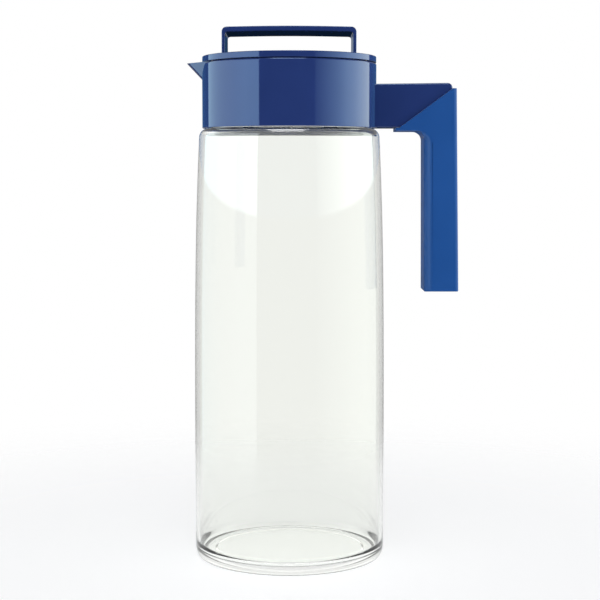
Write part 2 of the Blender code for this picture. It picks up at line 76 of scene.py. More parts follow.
# Collar
COLLAR_RADIUS = 51.9 * MM
COLLAR_WALL = 2.4 * MM
COLLAR_EDGE = 0.3 * MM
RING_DROP = 0.2 * MM
COLLAR_TOP_ROUND = 1.1 * MM
LEDGE_THICKNESS = 2.6 * MM
LEDGE_BORE_RADIUS = 43.0 * MM
LEDGE_EDGE = 0.4 * MM
LIP_KEEL_DROP = 9.6 * MM
LIP_HALF_SPREAD = 1.21
LIP_WALL = 1.7 * MM
LIP_KEEL_ROUND = 9.0 * MM
LIP_CHANNEL_START = 46.0 * MM

# Arm, grip core and grip sleeve
ARM_HALF_DEPTH = 12.0 * MM
ARM_HEIGHT_AT_COLLAR = 25.6 * MM
ARM_HEIGHT_AT_END = 26.2 * MM
ARM_EDGE = 1.0 * MM
ARM_TOP_ROUND = 3.0 * MM
CORE_ROUND = 4.8 * MM
SLEEVE_WALL = 2.0 * MM
SLEEVE_SEAM_START_SHARE = 0.478
SLEEVE_TOP_DROP = 3.2 * MM
SLEEVE_TIP_RUN = 2.1 * MM
GRIP_INNER_REACH = 79.5 * MM
GRIP_WIDTH_AT_TOP = 19.2 * MM
GRIP_LEAN = 0.6 * MM
GRIP_INNER_FILLET = 5.0 * MM

# The grip's rounding, and the share of it that the sleeve's other edges take
GRIP_ROUND = 5.0 * MM
GRIP_ROUND_FULLNESS = 0.4
SLEEVE_OUTER_EDGE_SHARE = 0.42
SLEEVE_ARM_EDGE_SHARE = 0.14
SLEEVE_FOOT_EDGE_SHARE = 0.13
SLEEVE_MITRE_EDGE_SHARE = 0.07

# Lid
LID_RIM_HEIGHT = 3.55 * MM
LID_RIM_WIDTH = 2.2 * MM
LID_RIM_ROUND = 0.4 * MM
LID_PLATE = 2.15 * MM
CAP_RING_DEPTH = 5.0 * MM
CAP_RING_WALL = 2.0 * MM
PLUG_RADIUS = 46.4 * MM
PLUG_WALL = 2.0 * MM
PLUG_FLOOR = 1.8 * MM
PLUG_EDGE = 0.5 * MM
SPIGOT_GAP = 0.8 * MM
SEAL_GROOVE_DEPTH = 1.4 * MM
SEAL_GROOVE_HEIGHT = 2.2 * MM
SEAL_ROUND = 0.5 * MM
GASKET_ROUND = 0.5 * MM
STRAP_CROWN = 0.5 * MM
STRAP_TOP_THICKNESS = 2.9 * MM
STRAP_LEG_THICKNESS = 2.0 * MM
STRAP_CORNER = 3.0 * MM
STRAP_EDGE = 0.5 * MM
FOOT_HALF_DEPTH = 11.5 * MM
FOOT_HOOK_REACH = 1.4 * MM
FOOT_HOOK_HEIGHT = 2.2 * MM

# Threads: the collar's on the neck, and the coarse ribs that hold the lid down
THREAD_CREST = 0.5 * MM
THREAD_FLANK = 0.8 * MM
RIB_CREST = 1.2 * MM
RIB_FLANK = 0.7 * MM
NECK_THREAD = {"Depth": 1.2 * MM, "Pitch": 3.6 * MM, "Lead": 3.6 * MM, "Starts": 1.0}
NECK_THREAD |= {"Crest": THREAD_CREST, "Flank": THREAD_FLANK}
LID_RIBS = {"Depth": 2.1 * MM, "Pitch": 30.0 * MM, "Lead": 12.0 * MM, "Starts": 2.0}
LID_RIBS |= {"Crest": RIB_CREST, "Flank": RIB_FLANK, "Arc Share": 0.42}
RIB_GAP = 0.4 * MM
THREAD_ROW = 0.35 * MM
RIB_END_SHARE = 0.03
WHOLE_TURN = 0.999
ON_WALL = 0.05 * MM

# How finely forms are made, and where a surface counts as flat or sharp
TURN_STEPS = 192
CORNER_STEPS = 8
EDGE_STEPS = 4
PATH_RADIUS = 1.0 * MM
MERGE_DISTANCE = 0.001 * MM
SHARP_ANGLE = 32.0
BEVEL_ANGLE = 40.0
FACE_AREA_WEIGHT = 100

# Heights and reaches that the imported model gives
NECK_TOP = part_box("jug")[1].z
JUG_BASE_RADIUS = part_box("jug")[1].x
JUG_BODY_HEIGHT = NECK_TOP - NECK_HEIGHT
GASKET_LOW, GASKET_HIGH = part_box("neck_gasket")
COLLAR_BOTTOM = JUG_BODY_HEIGHT + SEAT_GAP
COLLAR_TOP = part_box("collar")[1].z
LIP_REACH = -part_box("collar")[0].x
ARM_END_REACH = GRIP_INNER_REACH + GRIP_WIDTH_AT_TOP - SLEEVE_WALL - SEAT_GAP
LEDGE_BOTTOM = GASKET_HIGH.z + SEAT_GAP
LEDGE_TOP = LEDGE_BOTTOM + LEDGE_THICKNESS
CHAMBER_RADIUS = COLLAR_RADIUS - COLLAR_WALL
GRIP_FOOT_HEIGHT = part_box("grip_sleeve")[0].z
GRIP_OUTER_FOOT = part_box("grip_sleeve")[1].x
SEAM_START_REACH = COLLAR_RADIUS + SLEEVE_SEAM_START_SHARE * (GRIP_INNER_REACH - COLLAR_RADIUS)
LID_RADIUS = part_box("lid_cap")[1].x
LID_RIM_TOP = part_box("lid_cap")[1].z
LID_BOTTOM = LID_RIM_TOP - LID_RIM_HEIGHT
LID_DECK = LID_BOTTOM + LID_PLATE
PLUG_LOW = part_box("lid_plug")[0].z
PLUG_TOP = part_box("lid_plug")[1].z
SEAL_LOW, SEAL_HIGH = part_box("lid_seal")
SEAL_MIDDLE = (SEAL_LOW.z + SEAL_HIGH.z) / 2
SPIGOT_RADIUS = LEDGE_BORE_RADIUS - SPIGOT_GAP
CAP_RING_RADIUS = PLUG_RADIUS - PLUG_WALL - SEAT_GAP
STRAP_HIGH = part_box("lid_strap")[1]

# Colours, as screen values
NAVY = (35, 51, 103)
GRIP_BLUE = (2, 72, 147)
CLEAR_TINT = (250, 251, 248)
SILICONE = (226, 228, 226)
FLOOR_WHITE = (214, 215, 217)

# Camera
CAMERA_PLACE = (0.0064, -0.900, 0.2318)
CAMERA_PITCH = 4.88
CAMERA_LENS = 89.67
CAMERA_SENSOR = 36.0

# Finishes: roughness and tone at the two ends of the slow waves in a surface
PLASTIC_IOR = 1.5
NAVY_ROUGHNESS = (0.03, 0.05)
NAVY_WIPED = 0.02
NAVY_TONES = (0.96, 1.04)
NAVY_SPECULAR = (0.44, 0.66, 1.0, 1.0)
CLEAR_WIPED = 0.03
CLEAR_SHADOW_TINT = (0.93, 0.94, 0.94, 1.0)
GRIP_ROUGHNESS = (0.36, 0.42)
GRIP_TONES = (0.95, 1.05)
GRIP_SPECULAR = (0.75, 0.95, 1.0, 1.0)
SILICONE_ROUGHNESS = (0.45, 0.6)
SILICONE_TONES = (0.94, 1.0)
SILICONE_DEPTH = 4.0 * MM
WIPE_ANGLE = 0.35
WIPE_WIDTH = 0.012

# Studio panels beside the object, in degrees round from the camera and up from level
LEFT_PANEL = (-132.9, -39.3)
LEFT_STRENGTH = (2.5, 5.0)
LEFT_FADE_POWER = 1.45
LEFT_FULL_FROM = -60.0
RIGHT_PANEL = (34.0, 130.9)
RIGHT_STRENGTH = (0.5, 4.7)
RIGHT_FULL_FROM = 82.0
RIGHT_FALL_FROM = 105.0
RIGHT_FALL_TO = 0.65
PANEL_ELEVATION = (-40.0, 28.0)
PANEL_END_SOFTNESS = 4.0
PANEL_SOFTNESS = 0.8
PANEL_TINT = (0.88, 0.96, 0.96, 1.0)
RIGHT_PANEL_TINT = (0.88, 0.96, 0.87, 1.0)
LEFT_PANEL_TINT_BEHIND = (0.66, 0.93, 1.0, 1.0)
TINT_BEHIND = (-133.0, -85.0)

# The band of heights in which gloss shows the panels dimmed
PANEL_DIM_BAND = (-22.0, 1.45)
PANEL_DIM = 0.33
BAND_SOFTNESS = 0.2

# Lamp overhead, as shares of a direction
LAMP_ACROSS = (-0.30, 0.24)
LAMP_AWAY = (-0.62, -0.02)
LAMP_SOFTNESS = 0.03
LAMP_IN_GLOSS = 9.0

# The room as gloss shows it. ACROSS, AWAY and WIDTH are shares of a direction, FROM and BELOW degrees up
WHITE = (1.0, 1.0, 1.0)
ROOM_TINT = (0.32, 1.0, 2.3)
ROOM_IN_GLOSS = 0.14
ROOM_BLUE_BAND = (1.45, 9.0)
ROOM_PLAIN_IN_GLOSS = (0.05, 0.36)
ROOM_PLAIN_AWAY = (-0.2, 0.6)
ROOM_HIGH_IN_GLOSS = 0.2
ROOM_HIGH_FROM = (24.0, 34.0)
ROOM_LOW_IN_GLOSS = 0.03
ROOM_LOW_BELOW = (-21.0, -18.0)
BACK_WALL_HALF_WIDTH = (0.06, 0.10)
BACK_WALL_DARK = (0.012, 0.055)
BACK_WALL_DARK_FROM = (-2.0, 4.0)
BACK_WALL_LEFT = 0.21
BACK_WALL_LEFT_ACROSS = (-0.025, 0.015)
BACK_WALL_LEFT_FROM = (1.0, 4.0)
BACK_WALL_TOP = 0.45
BACK_WALL_TOP_FROM = (5.5, 8.5)
UNDERSIDE_HALF_WIDTH = (0.13, 0.16)
UNDERSIDE_BELOW = (-1.2, -0.9)
FLOOR_IN_GLOSS = 0.5
FLOOR_IN_GLOSS_BELOW = (-52.0, -42.0)

# Light on matt surfaces
PANELS_ON_SURFACES = (0.42, 0.62)
PANELS_ON_SURFACES_ACROSS = (-0.5, 0.5)
LAMP_ON_SURFACES = 1.2
ROOM_ON_SURFACES = 0.19
FRONT_FILL = 0.70
FRONT_FILL_ROUND = (-35.0, 75.0)
FRONT_FILL_UP = (-25.0, 50.0)
FRONT_FILL_SOFTNESS = 15.0

# Light inside the clear wall
ROOM_INSIDE_CLEAR = 0.85
HIGH_INSIDE_CLEAR = 1.6
HIGH_INSIDE_CLEAR_FROM = (10.0, 30.0)

# Floor
FLOOR_RADIUS = 0.55
FLOOR_CLEAR_FROM = 0.16
FLOOR_CLEAR_SHARE = 0.96
FLOOR_GLOW = 0.49
FLOOR_DROP = SEAT_GAP / 3


def linear(value):
    """One 0 to 255 screen value as the linear share that a shader takes."""
    share = value / 255
    return share / 12.92 if share <= 0.04045 else ((share + 0.055) / 1.055) ** 2.4


def shade(colour, factor=1.0):
    return [min(1.0, linear(value) * factor) for value in colour] + [1.0]


class Tree:
    """A node tree with short ways to add nodes and to join them."""

    def __init__(self, tree):
        self.tree = tree

    @classmethod
    def group(cls, name, kind, inputs, outputs):
        tree = bpy.data.node_groups.new(name, kind)
        for label, socket, value in inputs:
            made = tree.interface.new_socket(label, in_out="INPUT", socket_type=socket)
            if value is not None:
                made.default_value = value
        for label, socket in outputs:
            tree.interface.new_socket(label, in_out="OUTPUT", socket_type=socket)
        return cls(tree)

    def add(self, kind, inputs=None, **settings):
        """A node with its settings, and its inputs as values or as outputs of other nodes."""
        node = self.tree.nodes.new(kind)
        for name, value in settings.items():
            setattr(node, name, value)
        for key, value in (inputs or {}).items():
            if isinstance(value, bpy.types.NodeSocket):
                self.tree.links.new(value, node.inputs[key])
            else:
                node.inputs[key].default_value = value
        return node

    def out(self, kind, inputs=None, **settings):
        """The first output of a new node."""
        return self.add(kind, inputs, **settings).outputs[0]

    def math(self, operation, *values):
        """The result of a Math node. It works in shader trees and in geometry trees."""
        inputs = dict(enumerate(values))
        return self.out("ShaderNodeMath", inputs, operation=operation)

    def times(self, first, second):
        return self.math("MULTIPLY", first, second)

    def ramp(self, value, low, high, to_low=0.0, to_high=1.0, smooth=False):
        """Maps value from one range to another and stops at its ends."""
        inputs = {"Value": value, "From Min": low, "From Max": high, "To Min": to_low, "To Max": to_high}
        kind = "SMOOTHSTEP" if smooth else "LINEAR"
        return self.out("ShaderNodeMapRange", inputs, interpolation_type=kind)

    def between(self, share, low, high):
        """Low where the share is 0, and high where it is 1."""
        return self.ramp(share, 0.0, 1.0, low, high)

    def mesh_output(self, geometry, material):
        """Ends a geometry tree with a plain mesh that has its material."""
        real = self.out("GeometryNodeRealizeInstances", {0: geometry})
        finished = self.out("GeometryNodeSetMaterial", {0: real, "Material": material})
        self.add("NodeGroupOutput", {0: finished})
        return self.tree


def thread_tree():
    """A geometry group that raises a helical rib, or ribs, on a round wall about Z."""
    value = "NodeSocketFloat"
    inputs = [("Geometry", "NodeSocketGeometry", None)]
    inputs += [("Wall Radius", value, 0.05), ("Depth", value, 0.001), ("Low", value, 0.0)]
    inputs += [("High", value, 0.01), ("Start Height", value, 0.0), ("Pitch", value, 0.0035)]
    inputs += [("Lead", value, 0.0035), ("Starts", value, 1.0), ("Arc Share", value, 1.0)]
    inputs += [("Crest", value, 0.0005), ("Flank", value, 0.0006)]
    inputs += [("Material", "NodeSocketMaterial", None)]
    tree = Tree.group("Helical Rib", "GeometryNodeTree", inputs, [("Geometry", "NodeSocketGeometry")])
    given = tree.add("NodeGroupInput").outputs
    place = tree.add("ShaderNodeSeparateXYZ", {0: tree.out("GeometryNodeInputPosition")})
    across, along, height = place.outputs
    squares = tree.math("ADD", tree.math("POWER", across, 2), tree.math("POWER", along, 2))
    radius = tree.math("SQRT", squares)

    turn = tree.math("DIVIDE", tree.math("ARCTAN2", along, across), math.tau)
    sector = tree.math("FRACT", tree.times(turn, given["Starts"]))
    climb = tree.times(sector, tree.math("DIVIDE", given["Lead"], given["Starts"]))
    middle = tree.math("ADD", given["Start Height"], climb)
    share = tree.math("DIVIDE", tree.math("SUBTRACT", height, middle), given["Pitch"])
    nearest = tree.math("SUBTRACT", share, tree.math("ROUND", share))
    distance = tree.times(tree.math("ABSOLUTE", nearest), given["Pitch"])

    half_crest = tree.times(given["Crest"], 0.5)
    foot = tree.math("ADD", half_crest, given["Flank"])
    rise = tree.ramp(distance, half_crest, foot, 1.0, 0.0)
    arc_falls = tree.math("SUBTRACT", given["Arc Share"], RIB_END_SHARE)
    arc_end = tree.ramp(sector, arc_falls, given["Arc Share"], 1.0, 0.0)
    arc_start = tree.ramp(sector, 0.0, RIB_END_SHARE)
    whole = tree.math("GREATER_THAN", given["Arc Share"], WHOLE_TURN)
    window = tree.math("MAXIMUM", whole, tree.times(arc_start, arc_end))
    low_end = tree.ramp(height, given["Low"], tree.math("ADD", given["Low"], given["Crest"]))
    high_end = tree.ramp(height, given["High"], tree.math("SUBTRACT", given["High"], given["Crest"]))
    ends = tree.times(low_end, high_end)
    lift = tree.times(rise, window)
    lift = tree.times(lift, tree.times(ends, given["Depth"]))

    off_wall = tree.math("ABSOLUTE", tree.math("SUBTRACT", radius, given["Wall Radius"]))
    on_wall = tree.math("LESS_THAN", off_wall, ON_WALL)
    above = tree.math("GREATER_THAN", height, given["Low"])
    below = tree.math("LESS_THAN", height, given["High"])
    zone = tree.times(on_wall, tree.times(above, below))
    outward = {0: tree.math("DIVIDE", across, radius), 1: tree.math("DIVIDE", along, radius)}
    outward = tree.out("ShaderNodeCombineXYZ", outward)
    offset = tree.out("ShaderNodeVectorMath", {0: outward, "Scale": lift}, operation="SCALE")
    moved = {0: given["Geometry"], "Selection": zone, "Offset": offset}
    moved = tree.out("GeometryNodeSetPosition", moved)
    return tree.mesh_output(moved, given["Material"])


def turned_tree():
    """A geometry tree that turns a profile about Z. The profile lies in XY, as radius and height."""
    inputs = [("Geometry", "NodeSocketGeometry", None), ("Turn Steps", "NodeSocketInt", TURN_STEPS)]
    inputs += [("Path Radius", "NodeSocketFloat", PATH_RADIUS)]
    inputs += [("Merge Distance", "NodeSocketFloat", MERGE_DISTANCE)]
    inputs += [("Material", "NodeSocketMaterial", None)]
    tree = Tree.group("Turned Form", "GeometryNodeTree", inputs, [("Geometry", "NodeSocketGeometry")])
    given = tree.add("NodeGroupInput").outputs
    profile = tree.out("GeometryNodeMeshToCurve", {0: given["Geometry"]})
    back = {0: tree.times(given["Path Radius"], -1.0)}
    back = tree.out("ShaderNodeCombineXYZ", back)
    upright = {0: profile, "Translation": back, "Scale": (1.0, -1.0, 1.0)}
    profile = tree.out("GeometryNodeTransform", upright)
    circle_inputs = {"Resolution": given["Turn Steps"], "Radius": given["Path Radius"]}
    circle = tree.out("GeometryNodeCurvePrimitiveCircle", circle_inputs, mode="RADIUS")
    swept = tree.out("GeometryNodeCurveToMesh", {0: circle, 1: profile})
    merged = {0: swept, "Distance": given["Merge Distance"]}
    merged = tree.out("GeometryNodeMergeByDistance", merged)
    return tree.mesh_output(merged, given["Material"])


def set_inputs(modifier, values):
    """Gives a Geometry Nodes modifier its values by the sockets' names."""
    sockets = {item.name: item.identifier for item in modifier.node_group.interface.items_tree}
    for name, value in values.items():
        modifier[sockets[name]] = value


def link(name, data):
    obj = bpy.data.objects.new(name, data)
    bpy.context.scene.collection.objects.link(obj)
    return obj


def mesh_of(form, name):
    """The built form as a mesh. The form is freed."""
    mesh = bpy.data.meshes.new(name)
    form.to_mesh(mesh)
    form.free()
    return mesh


def settle(obj):
    """The object as a plain mesh: what its modifiers make, with none left."""
    graph = bpy.context.evaluated_depsgraph_get()
    mesh = bpy.data.meshes.new_from_object(obj.evaluated_get(graph))
    obj.modifiers.clear()
    obj.data = mesh
    return obj


def face_outwards(mesh):
    """Recalculates the normals of a closed mesh and shades it smooth between its sharp edges."""
    if "custom_normal" in mesh.attributes:
        mesh.attributes.remove(mesh.attributes["custom_normal"])
    form = bmesh.new()
    form.from_mesh(mesh)
    bmesh.ops.remove_doubles(form, verts=form.verts[:], dist=MERGE_DISTANCE)
    bmesh.ops.recalc_face_normals(form, faces=form.faces[:])
    if form.calc_volume(signed=True) < 0:
        bmesh.ops.reverse_faces(form, faces=form.faces[:])
    for face in form.faces:
        face.smooth = True
    for edge in form.edges:
        edge.smooth = edge.calc_face_angle(math.pi) < math.radians(SHARP_ANGLE)
    form.to_mesh(mesh)
    form.free()
    mesh.update()


def arc(across, up, radius, start, end, steps=CORNER_STEPS):
    """Points of an arc about (across, up), from one angle in degrees to another."""
    angles = [math.radians(start + (end - start) * step / steps) for step in range(steps + 1)]
    return [(across + radius * math.cos(angle), up + radius * math.sin(angle)) for angle in angles]


def wall_rows(radius, low, high, step=THREAD_ROW):
    """Points up a straight wall, close enough together to carry a thread. The ends are left out."""
    rows = max(2, round(abs(high - low) / step))
    return [(radius, low + (high - low) * row / rows) for row in range(1, rows)]


def turned(name, profile, material, ring=False, threads=()):
    """A piece turned about Z by the Turned Form tree, with a thread for each set of values given."""
    points = [(radius, height, 0) for radius, height in profile]
    edges = [(index, index + 1) for index in range(len(points) - 1)]
    if ring:
        edges.append((len(points) - 1, 0))
    mesh = bpy.data.meshes.new(name)
    mesh.from_pydata(points, edges, [])
    obj = link(name, mesh)
    modifier = obj.modifiers.new("Turned Form", "NODES")
    modifier.node_group = bpy.data.node_groups["Turned Form"]
    set_inputs(modifier, {"Material": material})
    for values in threads:
        modifier = obj.modifiers.new("Helical Rib", "NODES")
        modifier.node_group = bpy.data.node_groups["Helical Rib"]
        set_inputs(modifier, {**values, "Material": material})
    return dress(settle(obj), material)


def extruded(name, outline, half_depth, weight_of=None):
    """A side outline of (x, z) points, extruded to both sides of the Y = 0 plane."""
    form = bmesh.new()
    corners = [form.verts.new((across, -half_depth, up)) for across, up in outline]
    face = form.faces.new(corners)
    grown = bmesh.ops.extrude_face_region(form, geom=[face])["geom"]
    back = [item for item in grown if isinstance(item, bmesh.types.BMVert)]
    bmesh.ops.translate(form, verts=back, vec=(0, 2 * half_depth, 0))
    bmesh.ops.recalc_face_normals(form, faces=form.faces[:])
    if weight_of:
        layer = form.edges.layers.float.new("bevel_weight_edge")
        for edge in form.edges:
            edge[layer] = weight_of(edge)
    mesh = mesh_of(form, name)
    mesh.shade_smooth()
    mesh.set_sharp_from_angle(angle=math.radians(SHARP_ANGLE))
    return link(name, mesh)


def bevel(obj, width, by_weight=False, fullness=0.5):
    """Rounds edges by their weight or their angle. A fullness of 0.5 is a quarter circle."""
    modifier = obj.modifiers.new("Edges", "BEVEL")
    modifier.width = width
    modifier.segments = CORNER_STEPS if by_weight else EDGE_STEPS
    modifier.profile = fullness
    modifier.limit_method = "WEIGHT" if by_weight else "ANGLE"
    modifier.angle_limit = math.radians(BEVEL_ANGLE)
    modifier.harden_normals = True
    return settle(obj)


def combine(obj, other, operation):
    """Joins or cuts with another object, which is then removed."""
    modifier = obj.modifiers.new(other.name, "BOOLEAN")
    modifier.operation = operation
    modifier.object = other
    modifier.solver = "EXACT"
    settle(obj)
    bpy.data.objects.remove(other, do_unlink=True)
    return obj


def body_radius(height):
    """The jug's outer radius. The side stands almost upright and draws in towards the shoulder."""
    share = height / JUG_BODY_HEIGHT
    return JUG_BASE_RADIUS - (JUG_BASE_RADIUS - JUG_TOP_RADIUS) * share**JUG_SIDE_POWER


def jug_side(low, high, inset, rows=28):
    heights = [low + (high - low) * row / rows for row in range(1, rows)]
    return [(body_radius(height) - inset, height) for height in heights]


def jug_profile():
    shoulder = JUG_BODY_HEIGHT - JUG_SHOULDER_CORNER
    shoulder_centre = body_radius(shoulder) - JUG_SHOULDER_CORNER
    floor_top = JUG_PUSH_UP + JUG_FLOOR
    inner_foot = floor_top + JUG_INNER_CORNER
    foot_centre = body_radius(inner_foot) - JUG_WALL - JUG_INNER_CORNER
    under_shoulder = JUG_BODY_HEIGHT - JUG_WALL
    bore = NECK_RADIUS - JUG_WALL
    ring_inner = JUG_BASE_RADIUS - JUG_FOOT_CORNER - JUG_REST_RING
    foot = JUG_BASE_RADIUS - JUG_FOOT_CORNER
    rim = NECK_TOP - NECK_RIM_ROUND
    root = JUG_BODY_HEIGHT + NECK_ROOT_FILLET

    profile = [(0, floor_top), (foot_centre / 2, floor_top)]
    profile += arc(foot_centre, inner_foot, JUG_INNER_CORNER, -90, 0)
    profile += jug_side(inner_foot, shoulder, JUG_WALL)
    profile += arc(shoulder_centre, shoulder, JUG_SHOULDER_CORNER - JUG_WALL, 0, 90)
    profile += arc(bore + NECK_INNER_ROUND, under_shoulder + NECK_INNER_ROUND, NECK_INNER_ROUND, 270, 180)
    profile += arc(bore + NECK_RIM_ROUND, rim, NECK_RIM_ROUND, 180, 90)
    profile += arc(NECK_RADIUS - NECK_RIM_ROUND, rim, NECK_RIM_ROUND, 90, 0)
    profile += wall_rows(NECK_RADIUS, rim, root)
    profile += arc(NECK_RADIUS + NECK_ROOT_FILLET, root, NECK_ROOT_FILLET, 180, 270, 5)
    profile += arc(shoulder_centre, shoulder, JUG_SHOULDER_CORNER, 90, 0, 14)
    profile += reversed(jug_side(JUG_FOOT_RISE, shoulder, 0))
    stretch = JUG_FOOT_RISE / JUG_FOOT_CORNER
    foot_round = arc(foot, JUG_FOOT_CORNER, JUG_FOOT_CORNER, 0, -90, 14)
    profile += [(across, up * stretch) for across, up in foot_round]
    profile += arc(ring_inner, JUG_REST_ROUND, JUG_REST_ROUND, 270, 225, 4)
    rise = JUG_PUSH_UP - JUG_REST_ROUND * (1 - math.sqrt(0.5))
    slant = ring_inner - JUG_REST_ROUND * math.sqrt(0.5)
    profile += [(slant - rise, JUG_PUSH_UP), (0, JUG_PUSH_UP)]
    return profile


def make_jug(materials):
    thread = {**NECK_THREAD, "Wall Radius": NECK_RADIUS}
    thread["Low"] = COLLAR_BOTTOM + NECK_ROOT_FILLET + THREAD_FLANK
    thread["High"] = NECK_TOP - NECK_RIM_ROUND - THREAD_FLANK
    return turned("clear_jug", jug_profile(), materials["clear"], threads=[thread])


def rounded_ring(inner, outer, bottom, top, radius):
    """The profile of a ring with a rounded section."""
    profile = arc(outer - radius, top - radius, radius, 90, 0, 5)
    profile += arc(outer - radius, bottom + radius, radius, 0, -90, 5)
    profile += arc(inner + radius, bottom + radius, radius, 270, 180, 5)
    profile += arc(inner + radius, top - radius, radius, 180, 90, 5)
    return profile


def make_gasket(materials):
    outer = GASKET_HIGH.x
    inner = 2 * (NECK_RADIUS - JUG_WALL / 2) - outer
    profile = rounded_ring(inner, outer, GASKET_LOW.z, GASKET_HIGH.z, GASKET_ROUND)
    return turned("neck_gasket_ring", profile, materials["seal"], ring=True)


def make_seal(materials):
    outer = SEAL_HIGH.x
    inner = SPIGOT_RADIUS - SEAL_GROOVE_DEPTH + SEAT_GAP
    profile = rounded_ring(inner, outer, SEAL_LOW.z, SEAL_HIGH.z, SEAL_ROUND)
    return turned("lid_sealing_ring", profile, materials["seal"], ring=True)


def lid_rib_height():
    """Where the middle of the plug's ribs starts."""
    return LEDGE_TOP + SEAT_GAP + PLUG_EDGE + RIB_CREST / 2 + RIB_FLANK


def collar_ring(materials):
    """The round wall with its ledge, and the threads on the inside of the wall."""
    bore, edge = LEDGE_BORE_RADIUS, LEDGE_EDGE
    bottom = COLLAR_BOTTOM - RING_DROP
    crown = COLLAR_TOP_ROUND
    profile = [(bore + edge, LEDGE_TOP), (bore, LEDGE_TOP - edge)]
    profile += [(bore, LEDGE_BOTTOM + edge), (bore + edge, LEDGE_BOTTOM), (CHAMBER_RADIUS, LEDGE_BOTTOM)]
    profile += wall_rows(CHAMBER_RADIUS, LEDGE_BOTTOM, COLLAR_BOTTOM + edge)
    profile += [(CHAMBER_RADIUS, bottom + edge), (CHAMBER_RADIUS + edge, bottom)]
    profile += arc(COLLAR_RADIUS - COLLAR_EDGE, bottom + COLLAR_EDGE, COLLAR_EDGE, -90, 0, 6)
    profile += arc(COLLAR_RADIUS - crown, COLLAR_TOP - crown, crown, 0, 90)
    profile += [(CHAMBER_RADIUS + edge, COLLAR_TOP), (CHAMBER_RADIUS, COLLAR_TOP - edge)]
    profile += wall_rows(CHAMBER_RADIUS, COLLAR_TOP - edge, LEDGE_TOP)
    profile += [(CHAMBER_RADIUS, LEDGE_TOP)]

    neck = {**NECK_THREAD, "Wall Radius": CHAMBER_RADIUS}
    neck["Depth"] = -NECK_THREAD["Depth"]
    neck["Start Height"] = NECK_THREAD["Pitch"] / 2
    neck["Low"] = COLLAR_BOTTOM + LEDGE_THICKNESS / 2
    neck["High"] = LEDGE_BOTTOM - LEDGE_THICKNESS / 2
    ribs = {**LID_RIBS, "Wall Radius": CHAMBER_RADIUS}
    ribs["Depth"] = -LID_RIBS["Depth"]
    ribs["Start Height"] = lid_rib_height() + RIB_CREST + 2 * RIB_FLANK + RIB_GAP
    ribs["Low"] = LEDGE_TOP + edge
    ribs["High"] = COLLAR_TOP - edge
    return turned("collar_moulding", profile, materials["navy"], ring=True, threads=[neck, ribs])


def lip_wedge(name, inset, start, top):
    """The pouring lip as a solid wedge that begins inside the collar. Inset moves it in by a wall."""
    slope = LIP_KEEL_DROP / (LIP_REACH - COLLAR_RADIUS)
    lean = math.atan2(slope, LIP_HALF_SPREAD)
    rounded_off = LIP_KEEL_ROUND * (1 / math.cos(lean) - 1) / slope
    shift = inset * math.sqrt(1 + 1 / LIP_HALF_SPREAD**2 + 1 / slope**2)
    depth = LIP_REACH + rounded_off - shift + (top - COLLAR_TOP) / slope - start
    radius = LIP_KEEL_ROUND - inset
    middle = top - depth * slope + radius / math.cos(lean)
    turn = math.degrees(lean)
    section = [(-depth * LIP_HALF_SPREAD, top)]
    section += arc(0, middle, radius, 270 - turn, 270 + turn, 3 * CORNER_STEPS)
    section += [(depth * LIP_HALF_SPREAD, top)]

    form = bmesh.new()
    near = [form.verts.new((-start, along, up)) for along, up in section]
    far = [form.verts.new((-start - (top - up) / slope, along, top)) for along, up in section[1:-1]]
    rim = [near[0]] + far + [near[-1]]
    for index in range(len(section) - 1):
        corners = [near[index], near[index + 1], rim[index + 1], rim[index]]
        form.faces.new(dict.fromkeys(corners))
    form.faces.new(near)
    form.faces.new(rim)
    mesh = mesh_of(form, name)
    face_outwards(mesh)
    return link(name, mesh)


def core_reaches():
    """How far the grip core's inner face and its outer foot lie from the jug's axis."""
    inner = GRIP_INNER_REACH + SLEEVE_WALL + SEAT_GAP
    outer = GRIP_OUTER_FOOT - SLEEVE_WALL - SEAT_GAP
    return inner, outer


def handle_outline(grow=0.0):
    """The arm and the grip core seen from the side, grown by a clearance for the sleeve's hollow."""
    inner, outer = core_reaches()
    below = COLLAR_BOTTOM - grow
    foot = GRIP_FOOT_HEIGHT + SLEEVE_WALL + SEAT_GAP - grow
    top_at_collar = COLLAR_BOTTOM + ARM_HEIGHT_AT_COLLAR + grow
    top_at_end = COLLAR_BOTTOM + ARM_HEIGHT_AT_END + grow
    corner = ARM_TOP_ROUND
    outline = [(LEDGE_BORE_RADIUS, below), (inner - grow, below), (inner + GRIP_LEAN - grow, foot)]
    outline += [(outer + grow, foot), (ARM_END_REACH + grow, top_at_end - corner)]
    outline += arc(ARM_END_REACH + grow - corner, top_at_end - corner, corner, 0, 90)[1:]
    outline += [(LEDGE_BORE_RADIUS, top_at_collar)]
    return outline


def core_weight(edge):
    """Full rounding on the grip core's inner upright edges, and a small one on the other long edges."""
    ends = [vertex.co for vertex in edge.verts]
    if abs(ends[0].y - ends[1].y) > ARM_HALF_DEPTH:
        return 0.0
    inner = core_reaches()[0] + GRIP_LEAN + SEAT_GAP
    at_inner_face = all(LEDGE_BORE_RADIUS < end.x < inner for end in ends)
    upright = abs(ends[0].z - ends[1].z) > ARM_HEIGHT_AT_END
    if at_inner_face and upright and ends[0].x != ends[1].x:
        return 1.0
    return ARM_EDGE / CORE_ROUND


def handle_solid(name, grow=0.0):
    solid = extruded(name, handle_outline(grow), ARM_HALF_DEPTH + grow, core_weight)
    return bevel(solid, CORE_ROUND, True)


def wall_drum(name):
    """A drum that ends inside the collar's wall. It trims what joins the wall from outside."""
    radius = (CHAMBER_RADIUS + COLLAR_RADIUS) / 2
    low, high = COLLAR_BOTTOM - OVERRUN, COLLAR_TOP + 2 * OVERRUN
    return turned(name, [(0, high), (radius, high), (radius, low), (0, low)], None)


